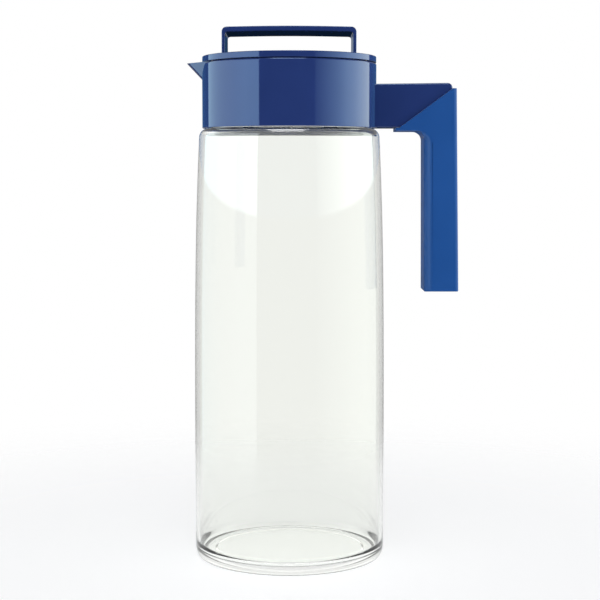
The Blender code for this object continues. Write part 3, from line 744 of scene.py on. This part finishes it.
def make_collar(materials):
    """The ring, its ledge, the pouring lip, the arm and the grip core are one moulding."""
    arm = combine(handle_solid("handle_form"), wall_drum("arm_trim"), "DIFFERENCE")
    lip = lip_wedge("lip_form", 0, LEDGE_BORE_RADIUS, COLLAR_TOP)
    combine(lip, wall_drum("lip_trim"), "DIFFERENCE")
    channel = lip_wedge("lip_channel", LIP_WALL, LIP_CHANNEL_START, COLLAR_TOP + OVERRUN)
    collar = collar_ring(materials)
    combine(collar, arm, "UNION")
    combine(collar, lip, "UNION")
    combine(collar, channel, "DIFFERENCE")
    dress(collar, materials["navy"])
    collar.visible_glossy = False
    return collar


def dress(obj, material):
    """Gives a finished mesh its one material, and shading that keeps its flat faces flat."""
    obj.data.materials.clear()
    obj.data.materials.append(material)
    face_outwards(obj.data)
    modifier = obj.modifiers.new("Flat Faces", "WEIGHTED_NORMAL")
    modifier.keep_sharp = True
    modifier.weight = FACE_AREA_WEIGHT
    return settle(obj)


def sleeve_outline():
    """The sleeve seen from the side: a short run under the arm, the grip, and the slanting mitre."""
    under = COLLAR_BOTTOM - SLEEVE_WALL
    top = COLLAR_BOTTOM + ARM_HEIGHT_AT_END - SLEEVE_TOP_DROP
    inner = GRIP_INNER_REACH
    fillet = GRIP_INNER_FILLET
    tip = SEAM_START_REACH - SLEEVE_TIP_RUN
    outline = [(tip, under)]
    outline += arc(inner - fillet, under - fillet, fillet, 90, 0, 12)
    outline += [(inner + GRIP_LEAN, GRIP_FOOT_HEIGHT), (GRIP_OUTER_FOOT, GRIP_FOOT_HEIGHT)]
    outline += [(inner + GRIP_WIDTH_AT_TOP, top), (ARM_END_REACH, top)]
    outline += [(SEAM_START_REACH, COLLAR_BOTTOM), (tip, COLLAR_BOTTOM)]
    return outline


def sleeve_weight(edge):
    """How much of the grip's rounding each edge of the sleeve takes."""
    ends = [vertex.co for vertex in edge.verts]
    if abs(ends[0].y - ends[1].y) > ARM_HALF_DEPTH:
        lowest = ends[0].z < GRIP_FOOT_HEIGHT + SEAT_GAP
        return SLEEVE_FOOT_EDGE_SHARE if lowest else 0.0
    low, high = sorted(end.z for end in ends)
    nearest = min(end.x for end in ends)
    farthest = max(end.x for end in ends)
    if high < GRIP_FOOT_HEIGHT + SEAT_GAP:
        return SLEEVE_FOOT_EDGE_SHARE
    if low < GRIP_FOOT_HEIGHT + SEAT_GAP:
        inner = farthest < (GRIP_INNER_REACH + GRIP_OUTER_FOOT) / 2
        return 1.0 if inner else SLEEVE_OUTER_EDGE_SHARE
    under = COLLAR_BOTTOM - SLEEVE_WALL
    if high <= under + SEAT_GAP and nearest >= GRIP_INNER_REACH - GRIP_INNER_FILLET - SEAT_GAP:
        drop = min(1.0, (under - low) / GRIP_INNER_FILLET)
        return SLEEVE_ARM_EDGE_SHARE + (1.0 - SLEEVE_ARM_EDGE_SHARE) * drop
    if high <= under + SEAT_GAP:
        return SLEEVE_ARM_EDGE_SHARE
    return SLEEVE_MITRE_EDGE_SHARE


def make_grip(materials):
    sleeve = extruded("soft_grip", sleeve_outline(), ARM_HALF_DEPTH + SLEEVE_WALL, sleeve_weight)
    bevel(sleeve, GRIP_ROUND, True, GRIP_ROUND_FULLNESS)
    combine(sleeve, handle_solid("handle_room", grow=SEAT_GAP), "DIFFERENCE")
    dress(sleeve, materials["grip"])
    sleeve.visible_glossy = False
    return sleeve


def cap_profile():
    rim_inner = LID_RADIUS - LID_RIM_WIDTH
    rim_top = LID_RIM_TOP
    top_round = LID_RIM_ROUND
    ring_bottom = LID_BOTTOM - CAP_RING_DEPTH
    ring_inner = CAP_RING_RADIUS - CAP_RING_WALL
    profile = [(0, LID_DECK), (rim_inner / 2, LID_DECK)]
    profile += arc(rim_inner - top_round, LID_DECK + top_round, top_round, -90, 0, 6)
    profile += arc(rim_inner + top_round / 2, rim_top - top_round / 2, top_round / 2, 180, 90, 4)
    profile += arc(LID_RADIUS - top_round, rim_top - top_round, top_round, 90, 0, 6)
    profile += arc(LID_RADIUS - top_round / 2, LID_BOTTOM + top_round / 2, top_round / 2, 0, -90, 4)
    profile += [(CAP_RING_RADIUS, LID_BOTTOM), (CAP_RING_RADIUS, ring_bottom + PLUG_EDGE)]
    profile += [(CAP_RING_RADIUS - PLUG_EDGE, ring_bottom), (ring_inner, ring_bottom)]
    profile += [(ring_inner, LID_BOTTOM), (ring_inner / 2, LID_BOTTOM), (0, LID_BOTTOM)]
    return profile


def slot_cutter(name, side):
    """The slot in the lid's plate that takes one foot of the strap."""
    half_span = STRAP_HIGH.x
    middle = side * (half_span - STRAP_LEG_THICKNESS / 2)
    half_width = STRAP_LEG_THICKNESS / 2 + SEAT_GAP
    low, high = LID_BOTTOM - OVERRUN, LID_DECK + OVERRUN
    outline = [(middle - half_width, low), (middle + half_width, low)]
    outline += [(middle + half_width, high), (middle - half_width, high)]
    return extruded(name, outline, FOOT_HALF_DEPTH + SEAT_GAP)


def make_lid_plate(materials):
    cap = turned("lid_plate", cap_profile(), materials["navy"])
    for name, side in (("left_slot", -1), ("right_slot", 1)):
        combine(cap, slot_cutter(name, side), "DIFFERENCE")
    return dress(cap, materials["navy"])


def plug_profile():
    seat = LEDGE_TOP + SEAT_GAP
    groove = SPIGOT_RADIUS - SEAL_GROOVE_DEPTH
    groove_top = SEAL_MIDDLE + SEAL_GROOVE_HEIGHT / 2
    groove_bottom = SEAL_MIDDLE - SEAL_GROOVE_HEIGHT / 2
    inner_low = groove - PLUG_WALL
    inner_high = PLUG_RADIUS - PLUG_WALL
    edge = PLUG_EDGE
    profile = [(0, PLUG_LOW + PLUG_FLOOR), (inner_low, PLUG_LOW + PLUG_FLOOR)]
    profile += [(inner_low, seat + PLUG_WALL), (inner_high, seat + PLUG_WALL + edge)]
    profile += [(inner_high, PLUG_TOP), (PLUG_RADIUS - edge, PLUG_TOP), (PLUG_RADIUS, PLUG_TOP - edge)]
    profile += wall_rows(PLUG_RADIUS, PLUG_TOP - edge, seat + edge)
    profile += [(PLUG_RADIUS, seat + edge), (PLUG_RADIUS - edge, seat)]
    profile += [(SPIGOT_RADIUS, seat), (SPIGOT_RADIUS, groove_top), (groove, groove_top)]
    profile += [(groove, groove_bottom), (SPIGOT_RADIUS, groove_bottom)]
    profile += arc(SPIGOT_RADIUS - 2 * edge, PLUG_LOW + 2 * edge, 2 * edge, 0, -90, 6)
    profile += [(SPIGOT_RADIUS / 2, PLUG_LOW), (0, PLUG_LOW)]
    return profile


def make_plug(materials):
    ribs = {**LID_RIBS, "Wall Radius": PLUG_RADIUS}
    ribs["Start Height"] = lid_rib_height()
    ribs["Low"] = LEDGE_TOP + SEAT_GAP + PLUG_EDGE
    ribs["High"] = PLUG_TOP - PLUG_EDGE
    return turned("lid_cup", plug_profile(), materials["navy"], threads=[ribs])


def crowned(left, right, height, steps=24):
    """Points of a shallow arch, without its ends."""
    shares = [step / steps for step in range(1, steps)]
    rises = [STRAP_CROWN * math.sin(math.pi * share) for share in shares]
    return [(left + (right - left) * share, height + rise) for share, rise in zip(shares, rises)]


def strap_outline():
    """The band seen from the front: outside up and over, then back along its inside."""
    base = LID_DECK + SEAT_GAP
    span, leg, top = STRAP_HIGH.x, STRAP_LEG_THICKNESS, STRAP_TOP_THICKNESS
    corner = STRAP_CORNER
    inner_corner = corner / 2
    shoulder = STRAP_HIGH.z - STRAP_CROWN
    low = shoulder - top
    outside = [(-span, base)]
    outside += arc(-span + corner, shoulder - corner, corner, 180, 90)
    outside += crowned(-span + corner, span - corner, shoulder)
    outside += arc(span - corner, shoulder - corner, corner, 90, 0)
    outside += [(span, base)]
    inside = [(span - leg, base)]
    inside += arc(span - leg - inner_corner, low - inner_corner, inner_corner, 0, 90, 5)
    inside += reversed(crowned(-span + leg + inner_corner, span - leg - inner_corner, low))
    inside += arc(-span + leg + inner_corner, low - inner_corner, inner_corner, 90, 180, 5)
    inside += [(-span + leg, base)]
    return outside + inside


def foot_outline(side):
    """A foot goes through its slot and hooks inwards under the plate."""
    base = LID_DECK + SEAT_GAP + STRAP_LEG_THICKNESS
    outer = STRAP_HIGH.x
    inner = outer - STRAP_LEG_THICKNESS
    catch = LID_BOTTOM - SEAT_GAP
    hook = inner - FOOT_HOOK_REACH
    outline = [(inner, base), (outer, base), (outer, catch - FOOT_HOOK_HEIGHT)]
    outline += [(inner, catch - FOOT_HOOK_HEIGHT), (hook, catch - FOOT_HOOK_HEIGHT / 2)]
    outline += [(hook, catch), (inner, catch)]
    return [(side * across, up) for across, up in outline]


def make_strap(materials):
    strap = bevel(extruded("carry_strap", strap_outline(), STRAP_HIGH.y), STRAP_EDGE)
    for side, name in ((-1, "left_foot"), (1, "right_foot")):
        combine(strap, extruded(name, foot_outline(side), FOOT_HALF_DEPTH), "UNION")
    return dress(strap, materials["navy"])


def mould_flow_group():
    """Faint waves and specks that a moulded or blown surface has."""
    value = "NodeSocketFloat"
    inputs = [("Vector", "NodeSocketVector", None), ("Wave Scale", value, 40.0)]
    inputs += [("Speck Scale", value, 900.0), ("Speck Share", value, 0.3)]
    outputs = [("Height", value), ("Tone", value)]
    tree = Tree.group("Mould Flow", "ShaderNodeTree", inputs, outputs)
    given = tree.add("NodeGroupInput").outputs
    waves = {"Vector": given["Vector"], "Scale": given["Wave Scale"], "Detail": 1.0}
    waves = tree.out("ShaderNodeTexNoise", waves)
    specks = {"Vector": given["Vector"], "Scale": given["Speck Scale"], "Detail": 2.0}
    specks = tree.out("ShaderNodeTexNoise", specks)
    height = tree.math("ADD", waves, tree.times(specks, given["Speck Share"]))
    tone = tree.ramp(waves, 0.3, 0.7)
    tree.add("NodeGroupOutput", {"Height": height, "Tone": tone})
    return tree.tree


def wipe_marks_group():
    """Hair-thin marks from wiping, as a mask that is mostly zero."""
    value = "NodeSocketFloat"
    inputs = [("Vector", "NodeSocketVector", None), ("Scale", value, 160.0), ("Stretch", value, 14.0)]
    tree = Tree.group("Wipe Marks", "ShaderNodeTree", inputs, [("Mask", value)])
    given = tree.add("NodeGroupInput").outputs
    squeeze = tree.out("ShaderNodeCombineXYZ", {0: 1.0, 1: 1.0, 2: given["Stretch"]})
    turn = {"Vector": given["Vector"], "Angle": WIPE_ANGLE}
    turn = tree.out("ShaderNodeVectorRotate", turn, rotation_type="Y_AXIS")
    long = tree.out("ShaderNodeVectorMath", {0: turn, 1: squeeze}, operation="MULTIPLY")
    noise = tree.add("ShaderNodeTexNoise", {"Vector": long, "Scale": given["Scale"], "Detail": 3.0})
    ridge = tree.math("ABSOLUTE", tree.math("SUBTRACT", noise.outputs[0], 0.5))
    tree.add("NodeGroupOutput", {"Mask": tree.ramp(ridge, 0.0, WIPE_WIDTH, 1.0, 0.0)})
    return tree.tree


def new_material(name):
    material = bpy.data.materials.new(name)
    material.use_nodes = True
    tree = Tree(material.node_tree)
    shader = material.node_tree.nodes["Principled BSDF"]
    place = tree.add("ShaderNodeTexCoord").outputs["Object"]
    return material, tree, shader, place


def use_group(tree, name, inputs):
    return tree.add("ShaderNodeGroup", inputs, node_tree=bpy.data.node_groups[name]).outputs


def set_sockets(shader, values):
    for name, value in values.items():
        shader.inputs[name].default_value = value


def connect(tree, shader, outputs):
    """Joins what changes over the surface to the shader's sockets."""
    for name, output in outputs.items():
        tree.tree.links.new(output, shader.inputs[name])


def two_tones(tree, factor, first, second):
    """A colour between two, by a factor that changes over the surface."""
    return tree.add("ShaderNodeMix", {0: factor, 6: first, 7: second}, data_type="RGBA").outputs[2]


def toned(tree, flow, colour, tones):
    """A colour that varies a little with the waves in the surface."""
    return two_tones(tree, flow["Tone"], shade(colour, tones[0]), shade(colour, tones[1]))


def bumped(tree, flow, strength, distance):
    """A normal that follows the waves and specks in the surface."""
    inputs = {"Strength": strength, "Distance": distance, "Height": flow["Height"]}
    return tree.out("ShaderNodeBump", inputs)


def navy_plastic():
    """Glossy moulded plastic."""
    material, tree, shader, place = new_material("navy_gloss_plastic")
    flow = use_group(tree, "Mould Flow", {"Vector": place, "Wave Scale": 55.0, "Speck Scale": 1400.0})
    marks = use_group(tree, "Wipe Marks", {"Vector": place, "Scale": 120.0})["Mask"]
    wiped = tree.times(marks, NAVY_WIPED)
    connect(tree, shader, {
        "Base Color": toned(tree, flow, NAVY, NAVY_TONES),
        "Roughness": tree.math("ADD", tree.between(flow["Tone"], *NAVY_ROUGHNESS), wiped),
        "Normal": bumped(tree, flow, 0.02, 0.05 * MM),
    })
    set_sockets(shader, {"IOR": PLASTIC_IOR, "Specular Tint": NAVY_SPECULAR})
    return material


def clear_plastic():
    """Clear, hard plastic. It lets lamps through, dimmed a little, as the real one does."""
    material, tree, shader, place = new_material("clear_plastic")
    flow = {"Vector": place, "Wave Scale": 18.0, "Speck Scale": 300.0, "Speck Share": 0.02}
    flow = use_group(tree, "Mould Flow", flow)
    marks = use_group(tree, "Wipe Marks", {"Vector": place, "Scale": 90.0})["Mask"]
    connect(tree, shader, {
        "Roughness": tree.times(marks, CLEAR_WIPED),
        "Normal": bumped(tree, flow, 0.05, 0.2 * MM),
    })
    glassy = {"Base Color": shade(CLEAR_TINT), "IOR": PLASTIC_IOR, "Transmission Weight": 1.0}
    set_sockets(shader, glassy)
    ray = tree.add("ShaderNodeLightPath").outputs
    through = tree.out("ShaderNodeBsdfTransparent", {0: CLEAR_SHADOW_TINT})
    mix = {0: ray["Is Shadow Ray"], 1: shader.outputs[0], 2: through}
    mix = tree.out("ShaderNodeMixShader", mix)
    connect(tree, material.node_tree.nodes["Material Output"], {"Surface": mix})
    return material


def soft_grip():
    """Satin rubber with a fine grain."""
    material, tree, shader, place = new_material("soft_blue_grip")
    flow = {"Vector": place, "Wave Scale": 30.0, "Speck Scale": 2600.0, "Speck Share": 1.0}
    flow = use_group(tree, "Mould Flow", flow)
    connect(tree, shader, {
        "Base Color": toned(tree, flow, GRIP_BLUE, GRIP_TONES),
        "Roughness": tree.between(flow["Tone"], *GRIP_ROUGHNESS),
        "Normal": bumped(tree, flow, 0.12, 0.05 * MM),
    })
    set_sockets(shader, {"IOR": PLASTIC_IOR, "Specular Tint": GRIP_SPECULAR})
    return material


def silicone():
    """Cloudy white silicone."""
    material, tree, shader, place = new_material("white_silicone")
    flow = use_group(tree, "Mould Flow", {"Vector": place, "Wave Scale": 60.0, "Speck Scale": 1800.0})
    connect(tree, shader, {
        "Base Color": toned(tree, flow, SILICONE, SILICONE_TONES),
        "Roughness": tree.between(flow["Tone"], *SILICONE_ROUGHNESS),
        "Normal": bumped(tree, flow, 0.1, 0.04 * MM),
    })
    set_sockets(shader, {"Subsurface Weight": 0.3, "Subsurface Radius": [SILICONE_DEPTH] * 3})
    return material


def panel(tree, angle, start, end, softness=PANEL_SOFTNESS):
    """1 between two angles and 0 outside them, in degrees, with soft ends."""
    low = tree.ramp(angle, start - softness, start + softness, smooth=True)
    high = tree.ramp(angle, end - softness, end + softness, 1.0, 0.0, smooth=True)
    return tree.times(low, high)


def studio_panels(tree, round_angle, elevation):
    """The brightness of two tall panels beside the object."""
    band = panel(tree, elevation, *PANEL_ELEVATION, softness=PANEL_END_SOFTNESS)
    left_fade = tree.math("POWER", tree.ramp(round_angle, LEFT_PANEL[0], LEFT_FULL_FROM), LEFT_FADE_POWER)
    left_fade = tree.between(left_fade, *LEFT_STRENGTH)
    left = tree.times(panel(tree, round_angle, *LEFT_PANEL), left_fade)
    right_rise = tree.ramp(round_angle, RIGHT_PANEL[0], RIGHT_FULL_FROM, *RIGHT_STRENGTH)
    right_fall = tree.ramp(round_angle, RIGHT_FALL_FROM, RIGHT_PANEL[1], 1.0, RIGHT_FALL_TO)
    right = tree.times(right_rise, right_fall)
    right = tree.times(panel(tree, round_angle, *RIGHT_PANEL), right)
    return tree.times(band, tree.math("ADD", left, right))


def overhead_lamp(tree, across, away, up):
    """A soft lamp over the object and a little in front of it, as shares of a direction."""
    lamp = panel(tree, across, *LAMP_ACROSS, softness=LAMP_SOFTNESS)
    lamp = tree.times(lamp, panel(tree, away, *LAMP_AWAY, softness=LAMP_SOFTNESS))
    return tree.times(lamp, tree.math("GREATER_THAN", up, 0.0))


def glow(tree, tint, level):
    """A tint times a brightness that changes with the direction."""
    return tree.out("ShaderNodeVectorMath", {0: tint, "Scale": level}, operation="SCALE")


def sum_of(tree, first, second):
    return tree.out("ShaderNodeVectorMath", {0: first, 1: second}, operation="ADD")


def gloss_room(tree, across, away, elevation):
    """What gloss shows beside the panels: a dark room, blue at eye level, its back wall and the floor."""
    offset = tree.math("ABSOLUTE", across)
    at_back = tree.math("GREATER_THAN", away, 0.0)
    behind = tree.times(tree.ramp(offset, *BACK_WALL_HALF_WIDTH, 1.0, 0.0), at_back)
    wall_top = tree.ramp(elevation, *BACK_WALL_TOP_FROM, 0.0, BACK_WALL_TOP)
    wall_left = tree.ramp(across, *BACK_WALL_LEFT_ACROSS, BACK_WALL_LEFT, 0.0)
    wall_left = tree.times(wall_left, tree.ramp(elevation, *BACK_WALL_LEFT_FROM))
    wall = tree.times(behind, tree.math("MAXIMUM", wall_top, wall_left))
    dark_wall = tree.ramp(elevation, *BACK_WALL_DARK_FROM, *BACK_WALL_DARK)
    dark = tree.between(behind, ROOM_IN_GLOSS, dark_wall)
    blue = panel(tree, elevation, *ROOM_BLUE_BAND, softness=BAND_SOFTNESS)
    blue = tree.math("MAXIMUM", behind, blue)
    dark = tree.times(dark, blue)
    plain = tree.ramp(away, *ROOM_PLAIN_AWAY, *ROOM_PLAIN_IN_GLOSS)
    plain = tree.between(tree.ramp(elevation, *ROOM_HIGH_FROM), plain, ROOM_HIGH_IN_GLOSS)
    plain = tree.times(plain, tree.between(blue, 1.0, 0.0))
    below = tree.times(tree.ramp(offset, *UNDERSIDE_HALF_WIDTH, 1.0, 0.0), at_back)
    below = tree.times(below, tree.ramp(elevation, *UNDERSIDE_BELOW, 1.0, 0.0))
    plain = tree.between(below, plain, 0.0)
    plain = tree.between(tree.ramp(elevation, *ROOM_LOW_BELOW), ROOM_LOW_IN_GLOSS, plain)
    above_floor = tree.ramp(elevation, *FLOOR_IN_GLOSS_BELOW)
    plain = tree.between(above_floor, FLOOR_IN_GLOSS, plain)
    white = tree.math("ADD", wall, plain)
    return sum_of(tree, glow(tree, ROOM_TINT, dark), glow(tree, WHITE, white))


def light_on_surfaces(tree, panels, lamp, round_angle, elevation, across):
    """The light that gives matt colour: part of each panel, a soft fill from the front, and the room."""
    fill = panel(tree, round_angle, *FRONT_FILL_ROUND, softness=FRONT_FILL_SOFTNESS)
    fill_up = panel(tree, elevation, *FRONT_FILL_UP, softness=FRONT_FILL_SOFTNESS)
    fill = tree.times(fill, fill_up)
    share = tree.ramp(across, *PANELS_ON_SURFACES_ACROSS, *PANELS_ON_SURFACES)
    level = tree.times(panels, share)
    level = tree.math("MULTIPLY_ADD", fill, FRONT_FILL, level)
    level = tree.math("MULTIPLY_ADD", lamp, LAMP_ON_SURFACES, level)
    return tree.math("ADD", level, ROOM_ON_SURFACES)


def studio_world():
    """A white backdrop for the camera and through clear pieces, and soft panels for all other light."""
    world = bpy.data.worlds.new("studio")
    bpy.context.scene.world = world
    world.use_nodes = True
    tree = Tree(world.node_tree)
    tree.tree.nodes.clear()
    direction = tree.add("ShaderNodeTexCoord").outputs["Generated"]
    across, away, up = tree.add("ShaderNodeSeparateXYZ", {0: direction}).outputs
    round_angle = tree.math("DEGREES", tree.math("ARCTAN2", across, tree.times(away, -1.0)))
    elevation = tree.math("DEGREES", tree.math("ARCSINE", up))
    panels = studio_panels(tree, round_angle, elevation)
    tint_share = tree.ramp(round_angle, *TINT_BEHIND, 1.0, 0.0)
    panel_tint = two_tones(tree, tint_share, PANEL_TINT, LEFT_PANEL_TINT_BEHIND)
    on_right = tree.math("GREATER_THAN", round_angle, 0.0)
    panel_tint = two_tones(tree, on_right, panel_tint, RIGHT_PANEL_TINT)
    lamp = overhead_lamp(tree, across, away, up)
    dimmed = panel(tree, elevation, *PANEL_DIM_BAND, softness=BAND_SOFTNESS)
    dimmed = tree.times(panels, tree.between(dimmed, 1.0, PANEL_DIM))
    in_gloss = sum_of(tree, glow(tree, panel_tint, dimmed), gloss_room(tree, across, away, elevation))
    lamp_in_gloss = glow(tree, WHITE, tree.times(lamp, LAMP_IN_GLOSS))
    in_gloss = sum_of(tree, in_gloss, lamp_in_gloss)
    on_surfaces = light_on_surfaces(tree, panels, lamp, round_angle, elevation, across)
    inside_levels = (ROOM_INSIDE_CLEAR, HIGH_INSIDE_CLEAR)
    inside_clear = tree.ramp(elevation, *HIGH_INSIDE_CLEAR_FROM, *inside_levels)

    ray = tree.add("ShaderNodeLightPath").outputs
    passed = ray["Is Transmission Ray"]
    level = two_tones(tree, ray["Is Glossy Ray"], on_surfaces, in_gloss)
    level = two_tones(tree, passed, level, inside_clear)
    studio = tree.add("ShaderNodeBackground", {0: level, 1: 1.0})
    backdrop = tree.add("ShaderNodeBackground", {0: (1, 1, 1, 1), 1: 1.0})
    straight = tree.times(passed, tree.math("LESS_THAN", ray["Glossy Depth"], 0.5))
    seen = tree.math("MAXIMUM", ray["Is Camera Ray"], straight)
    mix = tree.add("ShaderNodeMixShader", {0: seen, 1: studio.outputs[0], 2: backdrop.outputs[0]})
    tree.add("ShaderNodeOutputWorld", {0: mix.outputs[0]})


def make_floor():
    """A pale round floor that keeps the shadow and fades into the white backdrop."""
    form = bmesh.new()
    bmesh.ops.create_circle(form, cap_ends=True, segments=96, radius=FLOOR_RADIUS)
    floor = link("floor", mesh_of(form, "floor"))
    floor.location.z = -FLOOR_DROP
    material, tree, shader, place = new_material("pale_floor")
    tree.tree.nodes.remove(shader)
    reach = tree.add("ShaderNodeVectorMath", {0: place}, operation="LENGTH").outputs["Value"]
    fade = tree.ramp(reach, FLOOR_CLEAR_FROM, FLOOR_RADIUS * FLOOR_CLEAR_SHARE, smooth=True)
    ray = tree.add("ShaderNodeLightPath").outputs
    seen = tree.math("MAXIMUM", ray["Is Camera Ray"], ray["Is Transmission Ray"])
    seen = tree.math("MAXIMUM", seen, ray["Is Glossy Ray"])
    matt = tree.out("ShaderNodeBsdfDiffuse", {0: shade(FLOOR_WHITE)})
    shine = tree.out("ShaderNodeEmission", {0: (1, 1, 1, 1), 1: tree.times(seen, FLOOR_GLOW)})
    lit = tree.out("ShaderNodeAddShader", {0: matt, 1: shine})
    open_air = tree.out("ShaderNodeBsdfTransparent")
    mix = tree.out("ShaderNodeMixShader", {0: fade, 1: lit, 2: open_air})
    connect(tree, material.node_tree.nodes["Material Output"], {"Surface": mix})
    floor.data.materials.append(material)


def make_camera():
    camera = bpy.data.cameras.new("camera")
    camera.lens = CAMERA_LENS
    camera.sensor_width = CAMERA_SENSOR
    obj = link("camera", camera)
    obj.location = CAMERA_PLACE
    obj.rotation_euler = (math.radians(90 - CAMERA_PITCH), 0, 0)
    bpy.context.scene.camera = obj


def main():
    bpy.context.scene.view_settings.view_transform = "Standard"
    make_camera()
    studio_world()
    make_floor()
    thread_tree()
    turned_tree()
    mould_flow_group()
    wipe_marks_group()
    materials = {
        "clear": clear_plastic(),
        "navy": navy_plastic(),
        "grip": soft_grip(),
        "seal": silicone(),
    }
    makers = [
        (make_jug, "jug", "pitcher", "clear"),
        (make_gasket, "neck_gasket", "pitcher", "seal"),
        (make_collar, "collar", "pitcher", "navy"),
        (make_grip, "grip_sleeve", "pitcher", "grip"),
        (make_seal, "lid_seal", "lid_ring", "seal"),
        (make_plug, "lid_plug", "lid", "navy"),
        (make_lid_plate, "lid_cap", "lid", "navy"),
        (make_strap, "lid_strap", "lid", "navy"),
    ]
    for make, node, body, slot in makers:
        piece = make(materials)
        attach(piece, body)
        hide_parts(node)


main()
